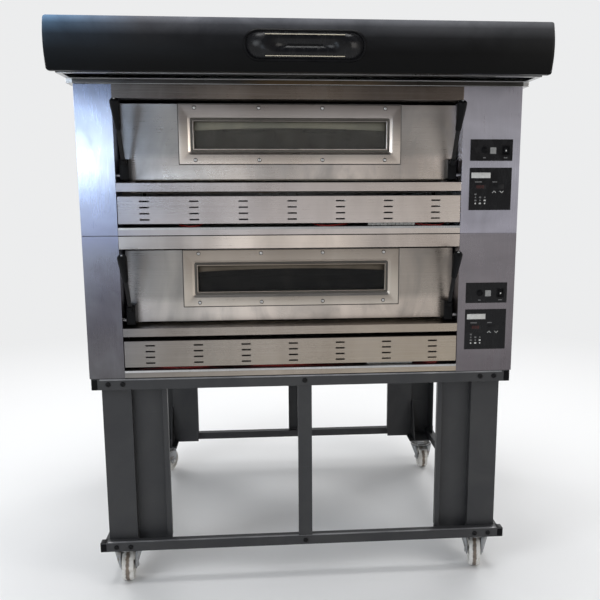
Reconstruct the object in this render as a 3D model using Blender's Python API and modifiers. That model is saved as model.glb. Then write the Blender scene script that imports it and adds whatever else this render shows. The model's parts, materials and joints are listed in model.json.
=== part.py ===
"""Twin-deck electric stone-hearth pizza oven with an extraction hood, on a castor stand.

Metres, +Z up, the front faces -Y. The origin is on the floor under the middle of the
object's box. Each sub-part is one named object; doors, switches, castor forks and wheels
hang from empties that sit on their joint axes.
"""

import math

import bmesh
import bpy
from mathutils import Matrix, Vector

# ---- Driving dimensions ----------------------------------------------------------------

GAP = 0.0003                  # between pieces that touch
SHEET = 0.0015                # stainless sheet of the decks and the hood
STAND_SHEET = 0.003           # folded steel of the stand's legs

FRONT_Y = -0.480              # front face of the deck columns and of the stand's rails
BACK_Y = 0.6295               # rear face of the decks
HALF_WIDTH = 0.680            # half the width of a deck

# Stand
STAND_BACK_Y = 0.5795         # rear face of the stand's rails
STAND_HALF_WIDTH = 0.676
RAIL_DEPTH = 0.031            # front to back, every rail
BOTTOM_RAIL_Z = (0.128, 0.159)
TOP_RAIL_Z = (0.680, 0.7167)
RAIL_WALL = 0.002
RAIL_INSET = 0.011            # side rails inside the ends of the front and back rails
LEG_SETBACK = 0.030           # leg's front flange behind the rail's front face
LEG_OUTER_X = 0.650
LEG_STEP_X = 0.560
LEG_INNER_X = 0.448
LEG_INNER_Y = -0.4235         # middle of the leg's set-back inner face
LEG_SIDE_DEPTH = 0.092
LEG_LIP_DEPTH = 0.018
LEG_RETURN_WIDTH = 0.014
APRON_LAP = 0.010             # apron of the leg's inner face, up behind that face
FOOT_INNER_X = 0.540
FOOT_DEPTH = 0.110
FOOT_HEIGHT = 0.170
FOOT_SHEET = 0.005
FOOT_TOE_HEIGHT = 0.015
FOOT_TOP_DEPTH = 0.040
POST_WIDTH = 0.045
POST_DEPTH = 0.025

# Castors
SWIVEL_X = 0.600
SWIVEL_Y = {"front": FRONT_Y + 0.084, "back": STAND_BACK_Y - 0.100}
WHEEL_RADIUS = 0.050
WHEEL_WIDTH = 0.038
AXLE_RADIUS = 0.0055
AXLE_HALF_LENGTH = 0.036
CASTOR_TRAIL = 0.027
CHEEK = 0.003
CROWN_RADIUS = 0.046
CROWN_Z = (0.1055, 0.1100)
CHEEK_STATIONS = (            # height, outer reach along the axle, rear and front reach
    (0.1060, 0.0440, 0.024, -0.032),
    (0.0860, 0.0380, 0.020, -0.038),
    (0.0640, 0.0300, -0.004, -0.044),
    (0.0540, 0.0255, -0.012, -0.043),
    (0.0380, 0.0250, -0.017, -0.037),
)
CASTOR_HEADINGS = {           # degrees, how far each castor is turned from straight ahead
    "front_left": 4.0,
    "front_right": -11.5,
    "back_left": 150.0,
    "back_right": 0.0,
}

# Decks: heights above the deck's own base
DECK_HEIGHT = 0.451
DECK_BASES = {"lower": 0.717, "upper": 0.717 + DECK_HEIGHT}
LEFT_COLUMN_X = -0.570        # inner edge of the narrow left column
RIGHT_COLUMN_X = 0.496        # inner edge of the wide right column
STRIP_TOP = 0.025
COVER_SET_IN = SHEET + GAP    # casing stops this far short of the rear face
VENT_Z = (0.036, 0.120)
LEDGE_Z = (0.134, 0.161)
DOOR_Z = (0.1705, 0.400)
FASCIA_BOTTOM = 0.410
DOOR_FRONT_Y = FRONT_Y + 0.062
DOOR_DEPTH = 0.035
DOOR_CLEARANCE = 0.006        # each side of the door
DOOR_SKIN = 0.002
DOOR_LIP_DEPTH = 0.015        # the door's top lip is thinner, to swing clear of the fascia
DOOR_PAN_TOP = 0.386
MOUTH_Y = DOOR_FRONT_Y + DOOR_DEPTH + 0.002   # where the casing and the chamber begin

# Vent panel slots
SLOT_COLUMNS = 7
SLOT_ROWS = 4
SLOT_PITCH_X = 0.1506
SLOT_PITCH_Z = 0.0187
SLOT_SIZE = (0.029, 0.004)
SLOT_CENTRE = (-0.036, 0.077)

# Door window, X and height above the deck's base
FRAME_X = (-0.3834, 0.3118)
FRAME_Z = (0.2178, 0.400)
FRAME_PROUD = 0.003
WINDOW_X = (-0.3368, 0.2658)
WINDOW_Z = (0.266, 0.348)
REBATE = 0.010
SURROUND = 0.019
GLASS_THICKNESS = 0.006
GLASS_SET_IN = 0.012

# Door levers
PIVOT_Y = DOOR_FRONT_Y - 0.030
PIVOT_Z = 0.183
LEVER_X = {"left": -0.546, "right": 0.470}
LEVER_LEAN = math.radians(28.0)
LEVER_LENGTH = 0.236
BAR_SPAN = (0.020, 0.226)     # along the lever from its pivot
BAR_SECTION = (0.012, 0.009)
GRIP_LENGTH = 0.086
GRIP_RADII = (0.0095, 0.0130)
BLOCK_WIDTH = 0.028
BLOCK_FRONT = 0.016           # in front of the pivot
BLOCK_Z = (-0.014, 0.049)
PIVOT_RADIUS = 0.006
PIVOT_REACH = 0.020

# Chamber
CHAMBER_X = (-0.545, 0.471)
CHAMBER_Z = (0.128, 0.392)
CHAMBER_BACK_Y = 0.560
LINER = 0.002
STONE_Z = (0.166, 0.186)
STONE_SHELF = 0.016
ELEMENT_RADIUS = 0.004
ELEMENT_RUNS = 6
LOWER_ELEMENT_Z = 0.148
UPPER_ELEMENT_Z = 0.376
ELEMENT_FRONT_Y = -0.300
ELEMENT_BACK_Y = 0.500
ELEMENT_HALF_SPAN = 0.425
BEND_POINTS = 6

# Controls on the right column
CONTROL_X = (0.521, 0.656)
SWITCH_PLATE_Z = (0.226, 0.292)
DISPLAY_PLATE_Z = (0.073, 0.205)
PLATE_PROUD = 0.002
PLATE_LIP = 0.004
HOUSING_DEPTH = 0.038
ROCKER_CENTRE = (0.634, 0.258)
ROCKER_SIZE = (0.013, 0.019)
ROCKER_DEPTH = 0.012
ROCKER_PROUD = 0.0035
ROCKER_CLEARANCE = 0.0015

# Hood
HOOD_HALF_WIDTH = 0.700
HOOD_FRONT_HALF_WIDTH = 0.718
HOOD_BASE_Z = 1.6193
HOOD_LIP_Z = 1.6335           # underside of the overhang in front of the decks
HOOD_STEP_Y = -0.4785
HOOD_TOP_Z = 1.778
HOOD_BODY_FRONT_Y = -0.585
HOOD_BODY_BACK_Y = 0.610
HOOD_NOSE_Y = -0.630
HOOD_PANEL_Z = (1.6345, 1.781)
HOOD_PANEL_BACK_Y = -0.588
HOOD_ARC_POINTS = 14
INTAKE_X = 0.684
INTAKE_Y = (-0.572, -0.484)
BAFFLE_Z = 1.650
BAFFLE_SLOT_X = (-0.145, 0.122)
FLUE_Y = 0.300
FLUE_RADIUS = 0.100
FLUE_WALL = 0.0015
FLUE_HEIGHT = 0.064
FLUE_FLANGE = 0.025

# ---- Scene -----------------------------------------------------------------------------


def clear_scene():
    for obj in list(bpy.data.objects):
        bpy.data.objects.remove(obj, do_unlink=True)


def new_collection(name):
    collection = bpy.data.collections.new(name)
    bpy.context.scene.collection.children.link(collection)
    return collection


clear_scene()
PARTS = new_collection("twin_deck_pizza_oven")
CUTTERS = new_collection("cutters")


def material(name, colour, roughness, metallic):
    """A Principled material with one colour, roughness and metallic value."""
    made = bpy.data.materials.new(name)
    made.use_nodes = True
    shader = made.node_tree.nodes["Principled BSDF"]
    shader.inputs["Base Color"].default_value = (*colour, 1.0)
    shader.inputs["Roughness"].default_value = roughness
    shader.inputs["Metallic"].default_value = metallic
    return made


def coat(obj, finish):
    """Gives an object a material of its own, in one of the oven's finishes."""
    colour, roughness, metallic = FINISHES[finish]
    obj.data.materials.append(material(obj.name, colour, roughness, metallic))


FINISHES = {
    "stainless": ((0.55, 0.54, 0.53), 0.32, 1.0),
    "liner": ((0.30, 0.28, 0.26), 0.50, 1.0),
    "stand_paint": ((0.055, 0.056, 0.060), 0.55, 0.0),
    "black_paint": ((0.015, 0.015, 0.017), 0.45, 0.0),
    "black_plastic": ((0.012, 0.012, 0.013), 0.50, 0.0),
    "black_gloss": ((0.010, 0.010, 0.011), 0.12, 0.0),
    "stone": ((0.62, 0.57, 0.48), 0.90, 0.0),
    "element": ((0.10, 0.09, 0.09), 0.60, 1.0),
    "glass": ((0.05, 0.05, 0.05), 0.05, 0.0),
    "zinc": ((0.62, 0.63, 0.65), 0.35, 1.0),
    "nylon": ((0.78, 0.76, 0.72), 0.45, 0.0),
}

# ---- Shapes ----------------------------------------------------------------------------


def object_from(name, mesh_builder, location=(0, 0, 0), collection=None):
    mesh = bpy.data.meshes.new(name)
    mesh_builder.to_mesh(mesh)
    mesh_builder.free()
    obj = bpy.data.objects.new(name, mesh)
    obj.location = location
    (collection or PARTS).objects.link(obj)
    if collection is CUTTERS:
        obj.hide_render = True
        obj.display_type = "WIRE"
    return obj


def add_cube(builder, low, high):
    """Adds a box between two corners to a bmesh."""
    low, high = Vector(low), Vector(high)
    size = high - low
    place = Matrix.Translation((low + high) / 2) @ Matrix.Diagonal((*size, 1.0))
    bmesh.ops.create_cube(builder, size=1.0, matrix=place)


def box(name, low, high, collection=None):
    centre = (Vector(low) + Vector(high)) / 2
    builder = bmesh.new()
    add_cube(builder, Vector(low) - centre, Vector(high) - centre)
    return object_from(name, builder, centre, collection)


def cylinder(name, centre, radius, length, axis, segments=24, top_radius=None, collection=None):
    """A cylinder or cone along X, Y or Z, centred on a point."""
    builder = bmesh.new()
    bmesh.ops.create_cone(
        builder,
        cap_ends=True,
        segments=segments,
        radius1=radius,
        radius2=radius if top_radius is None else top_radius,
        depth=length,
    )
    turn = Vector((0, 0, 1)).rotation_difference(Vector(axis)).to_matrix().to_4x4()
    bmesh.ops.transform(builder, matrix=turn, verts=builder.verts)
    return object_from(name, builder, centre, collection)


def folded_sheet(name, outline, axis, low, high, thickness, collection=None):
    """A sheet folded along an outline through its middle, drawn out along X, Y or Z.

    The outline's points give the other two coordinates, in X, Y, Z order.
    """
    builder = bmesh.new()
    order = [i for i in range(3) if i != axis]
    verts = []
    for first, second in outline:
        point = [0.0, 0.0, 0.0]
        point[order[0]] = first
        point[order[1]] = second
        point[axis] = low
        verts.append(builder.verts.new(point))
    edges = [builder.edges.new(pair) for pair in zip(verts, verts[1:])]
    drawn = bmesh.ops.extrude_edge_only(builder, edges=edges)
    moved = [v for v in drawn["geom"] if isinstance(v, bmesh.types.BMVert)]
    along = [0.0, 0.0, 0.0]
    along[axis] = high - low
    bmesh.ops.translate(builder, vec=along, verts=moved)
    obj = object_from(name, builder, collection=collection)
    solidify(obj, thickness)
    return obj


def flat_plate(name, outline, axis, at, thickness, collection=None):
    """A flat plate with a given outline, centred on a plane across X, Y or Z."""
    builder = bmesh.new()
    order = [i for i in range(3) if i != axis]
    verts = []
    for first, second in outline:
        point = [0.0, 0.0, 0.0]
        point[order[0]] = first
        point[order[1]] = second
        point[axis] = at
        verts.append(builder.verts.new(point))
    builder.faces.new(verts)
    obj = object_from(name, builder, collection=collection)
    solidify(obj, thickness)
    return obj


def solidify(obj, thickness):
    modifier = obj.modifiers.new("Sheet", "SOLIDIFY")
    modifier.thickness = thickness
    modifier.offset = 0.0
    modifier.use_even_offset = True


def turned(name, profile, segments, collection=None):
    """A ring turned round Z from a closed profile of (radius, height) points."""
    builder = bmesh.new()
    verts = [builder.verts.new((radius, 0.0, height)) for radius, height in profile]
    for first, second in zip(verts, verts[1:] + verts[:1]):
        builder.edges.new((first, second))
    obj = object_from(name, builder, collection=collection)
    screw = obj.modifiers.new("Turn", "SCREW")
    screw.steps = segments
    screw.render_steps = segments
    screw.use_merge_vertices = True
    screw.merge_threshold = 0.00001
    return obj


def rod(name, points, radius, finish):
    """A round bar along a list of points."""
    curve = bpy.data.curves.new(name, "CURVE")
    curve.dimensions = "3D"
    curve.bevel_depth = radius
    curve.bevel_resolution = 2
    curve.use_fill_caps = True
    spline = curve.splines.new("POLY")
    spline.points.add(len(points) - 1)
    for spot, point in zip(spline.points, points):
        spot.co = (*point, 1.0)
    obj = bpy.data.objects.new(name, curve)
    PARTS.objects.link(obj)
    coat(obj, finish)
    return obj


def combine(obj, other, operation):
    """Boolean with another object, which becomes a hidden guide."""
    if other.name not in CUTTERS.objects:
        for collection in list(other.users_collection):
            collection.objects.unlink(other)
        CUTTERS.objects.link(other)
    other.hide_render = True
    other.display_type = "WIRE"
    modifier = obj.modifiers.new(other.name, "BOOLEAN")
    modifier.operation = operation
    modifier.solver = "EXACT"
    modifier.object = other


def cut(obj, *cutters):
    for cutter in cutters:
        combine(obj, cutter, "DIFFERENCE")


def join(obj, *others):
    for other in others:
        combine(obj, other, "UNION")


def box_cutter(name, low, high):
    return box(name, low, high, CUTTERS)


def empty(name, location, parent=None, turn=0.0):
    """A guide on a joint's axis; turn is its heading about Z."""
    made = bpy.data.objects.new(name, None)
    made.empty_display_size = 0.05
    PARTS.objects.link(made)
    made.parent = parent
    made.location = location
    made.rotation_euler = (0.0, 0.0, turn)
    return made


def hang(parent, *objects):
    """Parents objects that were placed in the world to an empty, leaving them in place."""
    for obj in objects:
        obj.location = obj.location - parent.location
        obj.parent = parent


def smooth(obj, angle=35.0):
    obj.data.shade_smooth()
    obj.data.set_sharp_from_angle(angle=math.radians(angle))


# ---- Stand -----------------------------------------------------------------------------


def square_tube(name, low, high, axis):
    """An open-ended tube along X or Y."""
    tube = box(name, low, high)
    inner_low = [value + RAIL_WALL for value in low]
    inner_high = [value - RAIL_WALL for value in high]
    inner_low[axis] = low[axis] - RAIL_WALL
    inner_high[axis] = high[axis] + RAIL_WALL
    cut(tube, box_cutter(name + "_bore", inner_low, inner_high))
    coat(tube, "stand_paint")
    return tube


def stand_rails():
    for level, (low_z, high_z) in (("bottom", BOTTOM_RAIL_Z), ("top", TOP_RAIL_Z)):
        for place, low_y in (("front", FRONT_Y), ("back", STAND_BACK_Y - RAIL_DEPTH)):
            square_tube(
                f"stand_{level}_rail_{place}",
                (-STAND_HALF_WIDTH, low_y, low_z),
                (STAND_HALF_WIDTH, low_y + RAIL_DEPTH, high_z),
                0,
            )
        outer = STAND_HALF_WIDTH - RAIL_INSET
        for side, low_x in (("left", -outer), ("right", outer - RAIL_DEPTH)):
            square_tube(
                f"stand_{level}_rail_{side}",
                (low_x, FRONT_Y + RAIL_DEPTH + GAP, low_z),
                (low_x + RAIL_DEPTH, STAND_BACK_Y - RAIL_DEPTH - GAP, high_z),
                1,
            )


def leg_outline():
    """Front left leg in plan: side and front flanges, step back, inner face, lip, return."""
    front = FRONT_Y + LEG_SETBACK + STAND_SHEET / 2
    inner = LEG_INNER_Y
    return [
        (-LEG_OUTER_X, front + LEG_SIDE_DEPTH),
        (-LEG_OUTER_X, front),
        (-LEG_STEP_X, front),
        (-LEG_STEP_X, inner),
        (-LEG_INNER_X, inner),
        (-LEG_INNER_X, inner - LEG_LIP_DEPTH),
        (-LEG_INNER_X - LEG_RETURN_WIDTH, inner - LEG_LIP_DEPTH),
    ]


def front_left_leg():
    low_z = BOTTOM_RAIL_Z[1] + GAP
    high_z = TOP_RAIL_Z[0] - GAP
    leg = folded_sheet("stand_leg_front_left", leg_outline(), 2, low_z, high_z, STAND_SHEET)
    rail_y = FRONT_Y + RAIL_DEPTH + GAP
    rail_x = -(STAND_HALF_WIDTH - RAIL_INSET - RAIL_DEPTH) + GAP
    base_z = BOTTOM_RAIL_Z[0] + GAP
    foot = box(
        "front_left_foot_plate",
        (rail_x, rail_y, base_z),
        (-FOOT_INNER_X, rail_y + FOOT_DEPTH, base_z + FOOT_SHEET),
    )
    web = box(
        "front_left_foot_web",
        (rail_x, rail_y, base_z),
        (-LEG_STEP_X, rail_y + STAND_SHEET, base_z + FOOT_HEIGHT),
    )
    gusset = flat_plate(
        "front_left_foot_gusset",
        [
            (rail_y, base_z),
            (rail_y + FOOT_DEPTH, base_z),
            (rail_y + FOOT_DEPTH, base_z + FOOT_TOE_HEIGHT),
            (rail_y + FOOT_TOP_DEPTH, base_z + FOOT_HEIGHT),
            (rail_y, base_z + FOOT_HEIGHT),
        ],
        0,
        -LEG_STEP_X - 0.004,
        STAND_SHEET,
    )
    apron = box(
        "front_left_apron",
        (-LEG_STEP_X, LEG_INNER_Y - STAND_SHEET / 2, base_z),
        (-LEG_INNER_X, LEG_INNER_Y + STAND_SHEET / 2, low_z + APRON_LAP),
    )
    join(leg, foot, web, gusset, apron)
    coat(leg, "stand_paint")
    return leg


def mirrored_copy(source, name, flip_x, flip_y):
    """A handed copy, mirrored across X = 0 or across the stand's middle."""
    depsgraph = bpy.context.evaluated_depsgraph_get()
    mesh = bpy.data.meshes.new_from_object(source.evaluated_get(depsgraph))
    middle_y = (FRONT_Y + STAND_BACK_Y) / 2
    builder = bmesh.new()
    builder.from_mesh(mesh)
    for vert in builder.verts:
        if flip_x:
            vert.co.x = -vert.co.x
        if flip_y:
            vert.co.y = 2 * middle_y - vert.co.y
    if flip_x != flip_y:
        bmesh.ops.reverse_faces(builder, faces=builder.faces)
    copy = object_from(name, builder)
    coat(copy, "stand_paint")
    return copy


def stand_legs():
    leg = front_left_leg()
    bpy.context.view_layer.update()
    mirrored_copy(leg, "stand_leg_front_right", True, False)
    mirrored_copy(leg, "stand_leg_back_left", False, True)
    mirrored_copy(leg, "stand_leg_back_right", True, True)


def centre_posts():
    low_z = BOTTOM_RAIL_Z[1] + GAP
    high_z = TOP_RAIL_Z[0] - GAP
    half = POST_WIDTH / 2 - STAND_SHEET / 2
    for place, face, inward in (("front", FRONT_Y + 0.004, 1), ("back", STAND_BACK_Y - 0.004, -1)):
        near = face + inward * STAND_SHEET / 2
        far = near + inward * (POST_DEPTH - STAND_SHEET)
        outline = [(-half, far), (-half, near), (half, near), (half, far)]
        post = folded_sheet(f"stand_post_{place}", outline, 2, low_z, high_z, STAND_SHEET)
        coat(post, "stand_paint")


# ---- Castors ---------------------------------------------------------------------------


def lofted(name, stations):
    """A solid through level rectangles given as (height, low corner, high corner)."""
    builder = bmesh.new()
    rings = []
    for height, (low_x, low_y), (high_x, high_y) in stations:
        corners = ((low_x, low_y), (high_x, low_y), (high_x, high_y), (low_x, high_y))
        rings.append([builder.verts.new((x, y, height)) for x, y in corners])
    for lower, upper in zip(rings, rings[1:]):
        for i in range(4):
            j = (i + 1) % 4
            builder.faces.new((lower[i], lower[j], upper[j], upper[i]))
    builder.faces.new(rings[0][::-1])
    builder.faces.new(rings[-1])
    bmesh.ops.recalc_face_normals(builder, faces=builder.faces)
    return object_from(name, builder)


def castor_fork(corner):
    """Swivel head, crown, two flared cheeks and the axle, about the swivel axis."""
    name = f"castor_fork_{corner}"
    low_z, high_z = CROWN_Z
    head_top = BOTTOM_RAIL_Z[0] - 0.001
    fork = cylinder(
        name, (0, 0, (low_z + high_z) / 2), CROWN_RADIUS, high_z - low_z, (0, 0, 1), 36
    )
    head = cylinder(
        f"{name}_head", (0, 0, (high_z - 0.002 + head_top) / 2), 0.028, head_top - high_z + 0.002,
        (0, 0, 1), 28,
    )
    cheeks = []
    for side in (-1, 1):
        stations = []
        for height, outer, rear, front in CHEEK_STATIONS:
            near, far = sorted((side * (outer - CHEEK), side * outer))
            stations.append((height, (near, front), (far, rear)))
        cheeks.append(lofted(f"{name}_cheek_{side}", stations))
    axle = cylinder(
        f"{name}_axle",
        (0, -CASTOR_TRAIL, WHEEL_RADIUS),
        AXLE_RADIUS,
        2 * AXLE_HALF_LENGTH,
        (1, 0, 0),
        20,
    )
    join(fork, head, *cheeks, axle)
    coat(fork, "zinc")
    return [fork, head, *cheeks, axle]


def castor_wheel(corner):
    """Nylon wheel with a crowned tread, raised hub and running bore."""
    half = WHEEL_WIDTH / 2
    bore = AXLE_RADIUS + GAP
    profile = [
        (bore, -half - 0.001),
        (bore, half + 0.001),
        (0.016, half + 0.001),
        (0.019, half - 0.004),
        (0.038, half - 0.004),
        (0.041, half),
        (WHEEL_RADIUS - 0.004, half),
        (WHEEL_RADIUS, half - 0.006),
        (WHEEL_RADIUS, -half + 0.006),
        (WHEEL_RADIUS - 0.004, -half),
        (0.041, -half),
        (0.038, -half + 0.004),
        (0.019, -half + 0.004),
        (0.016, -half - 0.001),
    ]
    wheel = turned(f"castor_wheel_{corner}", profile, 40)
    wheel.rotation_euler = (0.0, math.pi / 2, 0.0)
    coat(wheel, "nylon")
    smooth(wheel)
    return wheel


def castors():
    for corner, heading in CASTOR_HEADINGS.items():
        place, side = corner.split("_")
        x = SWIVEL_X if side == "right" else -SWIVEL_X
        centre = (x, SWIVEL_Y[place], 0.0)
        swivel = empty(f"swivel_axis_{corner}", centre, turn=math.radians(heading))
        for piece in castor_fork(corner):
            piece.parent = swivel
        axle = empty(f"axle_axis_{corner}", (0.0, -CASTOR_TRAIL, WHEEL_RADIUS), swivel)
        castor_wheel(corner).parent = axle


# ---- Deck ------------------------------------------------------------------------------


class Deck:
    """One oven deck; z() turns a height above the deck's base into a world height."""

    def __init__(self, name, base):
        self.name = name
        self.base = base

    def z(self, height):
        return self.base + height

    def label(self, piece):
        return f"{self.name}_{piece}"


def casing(deck):
    """Folded sleeve: base, top and side panels, with the strip along the base's front."""
    low_z, high_z = deck.z(GAP), deck.z(DECK_HEIGHT - GAP)
    front = MOUTH_Y + GAP
    low = (-HALF_WIDTH, front, low_z)
    high = (HALF_WIDTH, BACK_Y - COVER_SET_IN, high_z)
    sleeve = box(deck.label("casing"), low, high)
    cut(
        sleeve,
        box_cutter(
            deck.label("casing_inside"),
            (-HALF_WIDTH + SHEET, front - 0.01, low_z + SHEET),
            (HALF_WIDTH - SHEET, BACK_Y + 0.01, high_z - SHEET),
        ),
    )
    mid = SHEET / 2
    strip = folded_sheet(
        deck.label("base_strip"),
        [
            (front + 0.010, low_z + mid),
            (FRONT_Y + mid, low_z + mid),
            (FRONT_Y + mid, deck.z(STRIP_TOP) - mid),
            (FRONT_Y + 0.030, deck.z(STRIP_TOP) - mid),
        ],
        0,
        LEFT_COLUMN_X + GAP,
        RIGHT_COLUMN_X - GAP,
        SHEET,
    )
    join(sleeve, strip)
    coat(sleeve, "stainless")


def back_cover(deck):
    cover = box(
        deck.label("back_cover"),
        (-HALF_WIDTH + 0.003, BACK_Y - COVER_SET_IN + GAP, deck.z(0.004)),
        (HALF_WIDTH - 0.003, BACK_Y - COVER_SET_IN + GAP + SHEET, deck.z(DECK_HEIGHT - 0.004)),
    )
    coat(cover, "stainless")


def column(deck, side):
    """Front column folded from sheet, with its pivot hole for the door lever."""
    outer = -HALF_WIDTH if side == "left" else HALF_WIDTH
    inner = LEFT_COLUMN_X if side == "left" else RIGHT_COLUMN_X
    out = -1 if side == "left" else 1
    mid = SHEET / 2
    name = deck.label(f"{side}_column")
    outline = [
        (outer - out * mid, MOUTH_Y - GAP),
        (outer - out * mid, FRONT_Y + mid),
        (inner + out * mid, FRONT_Y + mid),
        (inner + out * mid, MOUTH_Y - GAP),
    ]
    post = folded_sheet(name, outline, 2, deck.z(GAP), deck.z(DECK_HEIGHT - GAP), SHEET)
    hole = cylinder(
        f"{name}_pivot_hole",
        (inner, PIVOT_Y, deck.z(PIVOT_Z)),
        PIVOT_RADIUS + GAP,
        0.02,
        (1, 0, 0),
        collection=CUTTERS,
    )
    cut(post, hole)
    if side == "right":
        for plate, (low_z, high_z) in (("switch", SWITCH_PLATE_Z), ("display", DISPLAY_PLATE_Z)):
            low = (CONTROL_X[0] + PLATE_LIP, FRONT_Y - 0.01, deck.z(low_z + PLATE_LIP))
            high = (CONTROL_X[1] - PLATE_LIP, FRONT_Y + 0.01, deck.z(high_z - PLATE_LIP))
            cut(post, box_cutter(f"{name}_{plate}_window", low, high))
    coat(post, "stainless")


def fascia(deck):
    """Channel over the door."""
    mid = SHEET / 2
    top, bottom = deck.z(DECK_HEIGHT - GAP) - mid, deck.z(FASCIA_BOTTOM) + mid
    outline = [
        (MOUTH_Y - GAP, top),
        (FRONT_Y + mid, top),
        (FRONT_Y + mid, bottom),
        (DOOR_FRONT_Y + 0.050, bottom),
    ]
    made = folded_sheet(
        deck.label("top_fascia"), outline, 0, LEFT_COLUMN_X + GAP, RIGHT_COLUMN_X - GAP, SHEET
    )
    coat(made, "stainless")


def ledge(deck):
    """Landing shelf under the door."""
    mid = SHEET / 2
    top, bottom = deck.z(LEDGE_Z[1]) - mid, deck.z(LEDGE_Z[0]) + mid
    outline = [
        (FRONT_Y + 0.025, bottom),
        (FRONT_Y + mid, bottom),
        (FRONT_Y + mid, top),
        (MOUTH_Y - GAP, top),
    ]
    made = folded_sheet(
        deck.label("door_ledge"), outline, 0, LEFT_COLUMN_X + GAP, RIGHT_COLUMN_X - GAP, SHEET
    )
    coat(made, "stainless")


def vent_panel(deck):
    """Panel with a grid of cooling slots."""
    mid = SHEET / 2
    bottom, top = deck.z(VENT_Z[0]) + mid, deck.z(VENT_Z[1]) - mid
    outline = [
        (FRONT_Y + 0.018, bottom),
        (FRONT_Y + mid, bottom),
        (FRONT_Y + mid, top),
        (FRONT_Y + 0.018, top),
    ]
    panel = folded_sheet(
        deck.label("vent_panel"), outline, 0, LEFT_COLUMN_X + 0.002, RIGHT_COLUMN_X - 0.002, SHEET
    )
    slots = bmesh.new()
    width, height = SLOT_SIZE
    for i in range(SLOT_COLUMNS):
        x = SLOT_CENTRE[0] + (i - (SLOT_COLUMNS - 1) / 2) * SLOT_PITCH_X
        for j in range(SLOT_ROWS):
            z = deck.z(SLOT_CENTRE[1] + (j - (SLOT_ROWS - 1) / 2) * SLOT_PITCH_Z)
            add_cube(
                slots,
                (x - width / 2, FRONT_Y - 0.005, z - height / 2),
                (x + width / 2, FRONT_Y + 0.005, z + height / 2),
            )
    cut(panel, object_from(deck.label("vent_slots"), slots, collection=CUTTERS))
    coat(panel, "stainless")


def chamber(deck):
    """Liner open at the mouth, with shelves for the stone and holes for the elements."""
    low = (CHAMBER_X[0], MOUTH_Y + 0.002, deck.z(CHAMBER_Z[0]))
    high = (CHAMBER_X[1], CHAMBER_BACK_Y, deck.z(CHAMBER_Z[1]))
    liner = box(deck.label("baking_chamber"), low, high)
    inside_low = (low[0] + LINER, low[1] - 0.01, low[2] + LINER)
    inside_high = (high[0] - LINER, high[1] - LINER, high[2] - LINER)
    cut(liner, box_cutter(deck.label("chamber_space"), inside_low, inside_high))
    for side, start in (("left", low[0] + 0.0005), ("right", high[0] - STONE_SHELF)):
        shelf = box(
            deck.label(f"stone_shelf_{side}"),
            (start, low[1] + 0.002, low[2] + 0.001),
            (start + STONE_SHELF - 0.0005, high[1] - 0.001, deck.z(STONE_Z[0]) - GAP),
        )
        join(liner, shelf)
    for height in (LOWER_ELEMENT_Z, UPPER_ELEMENT_Z):
        for x in element_ends():
            hole = cylinder(
                deck.label(f"element_hole_{height}_{x:.2f}"),
                (x, CHAMBER_BACK_Y, deck.z(height)),
                ELEMENT_RADIUS + 2 * GAP,
                0.03,
                (0, 1, 0),
                16,
                collection=CUTTERS,
            )
            cut(liner, hole)
    coat(liner, "liner")


def element_ends():
    """X of an element's two terminals."""
    middle = sum(CHAMBER_X) / 2
    return middle - ELEMENT_HALF_SPAN, middle + ELEMENT_HALF_SPAN


def heating_element(deck, name, height):
    """Serpentine bar whose two ends leave through the chamber's back."""
    first, last = element_ends()
    pitch = (last - first) / (ELEMENT_RUNS - 1)
    bend = pitch / 2
    z = deck.z(height)
    points = [(first, CHAMBER_BACK_Y + 0.020, z)]
    for run in range(ELEMENT_RUNS):
        x = first + run * pitch
        forward = run % 2 == 0
        if run == ELEMENT_RUNS - 1:
            points.append((x, CHAMBER_BACK_Y + 0.020, z))
            break
        centre_y = ELEMENT_FRONT_Y + bend if forward else ELEMENT_BACK_Y - bend
        for step in range(BEND_POINTS + 1):
            angle = math.pi * step / BEND_POINTS
            reach = bend * math.sin(angle)
            y = centre_y - reach if forward else centre_y + reach
            points.append((x + bend - bend * math.cos(angle), y, z))
    rod(deck.label(name), points, ELEMENT_RADIUS, "element")


def stone_floor(deck):
    stone = box(
        deck.label("stone_floor"),
        (CHAMBER_X[0] + LINER + 0.002, MOUTH_Y + 0.004, deck.z(STONE_Z[0])),
        (CHAMBER_X[1] - LINER - 0.002, CHAMBER_BACK_Y - LINER - 0.002, deck.z(STONE_Z[1])),
    )
    coat(stone, "stone")


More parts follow.
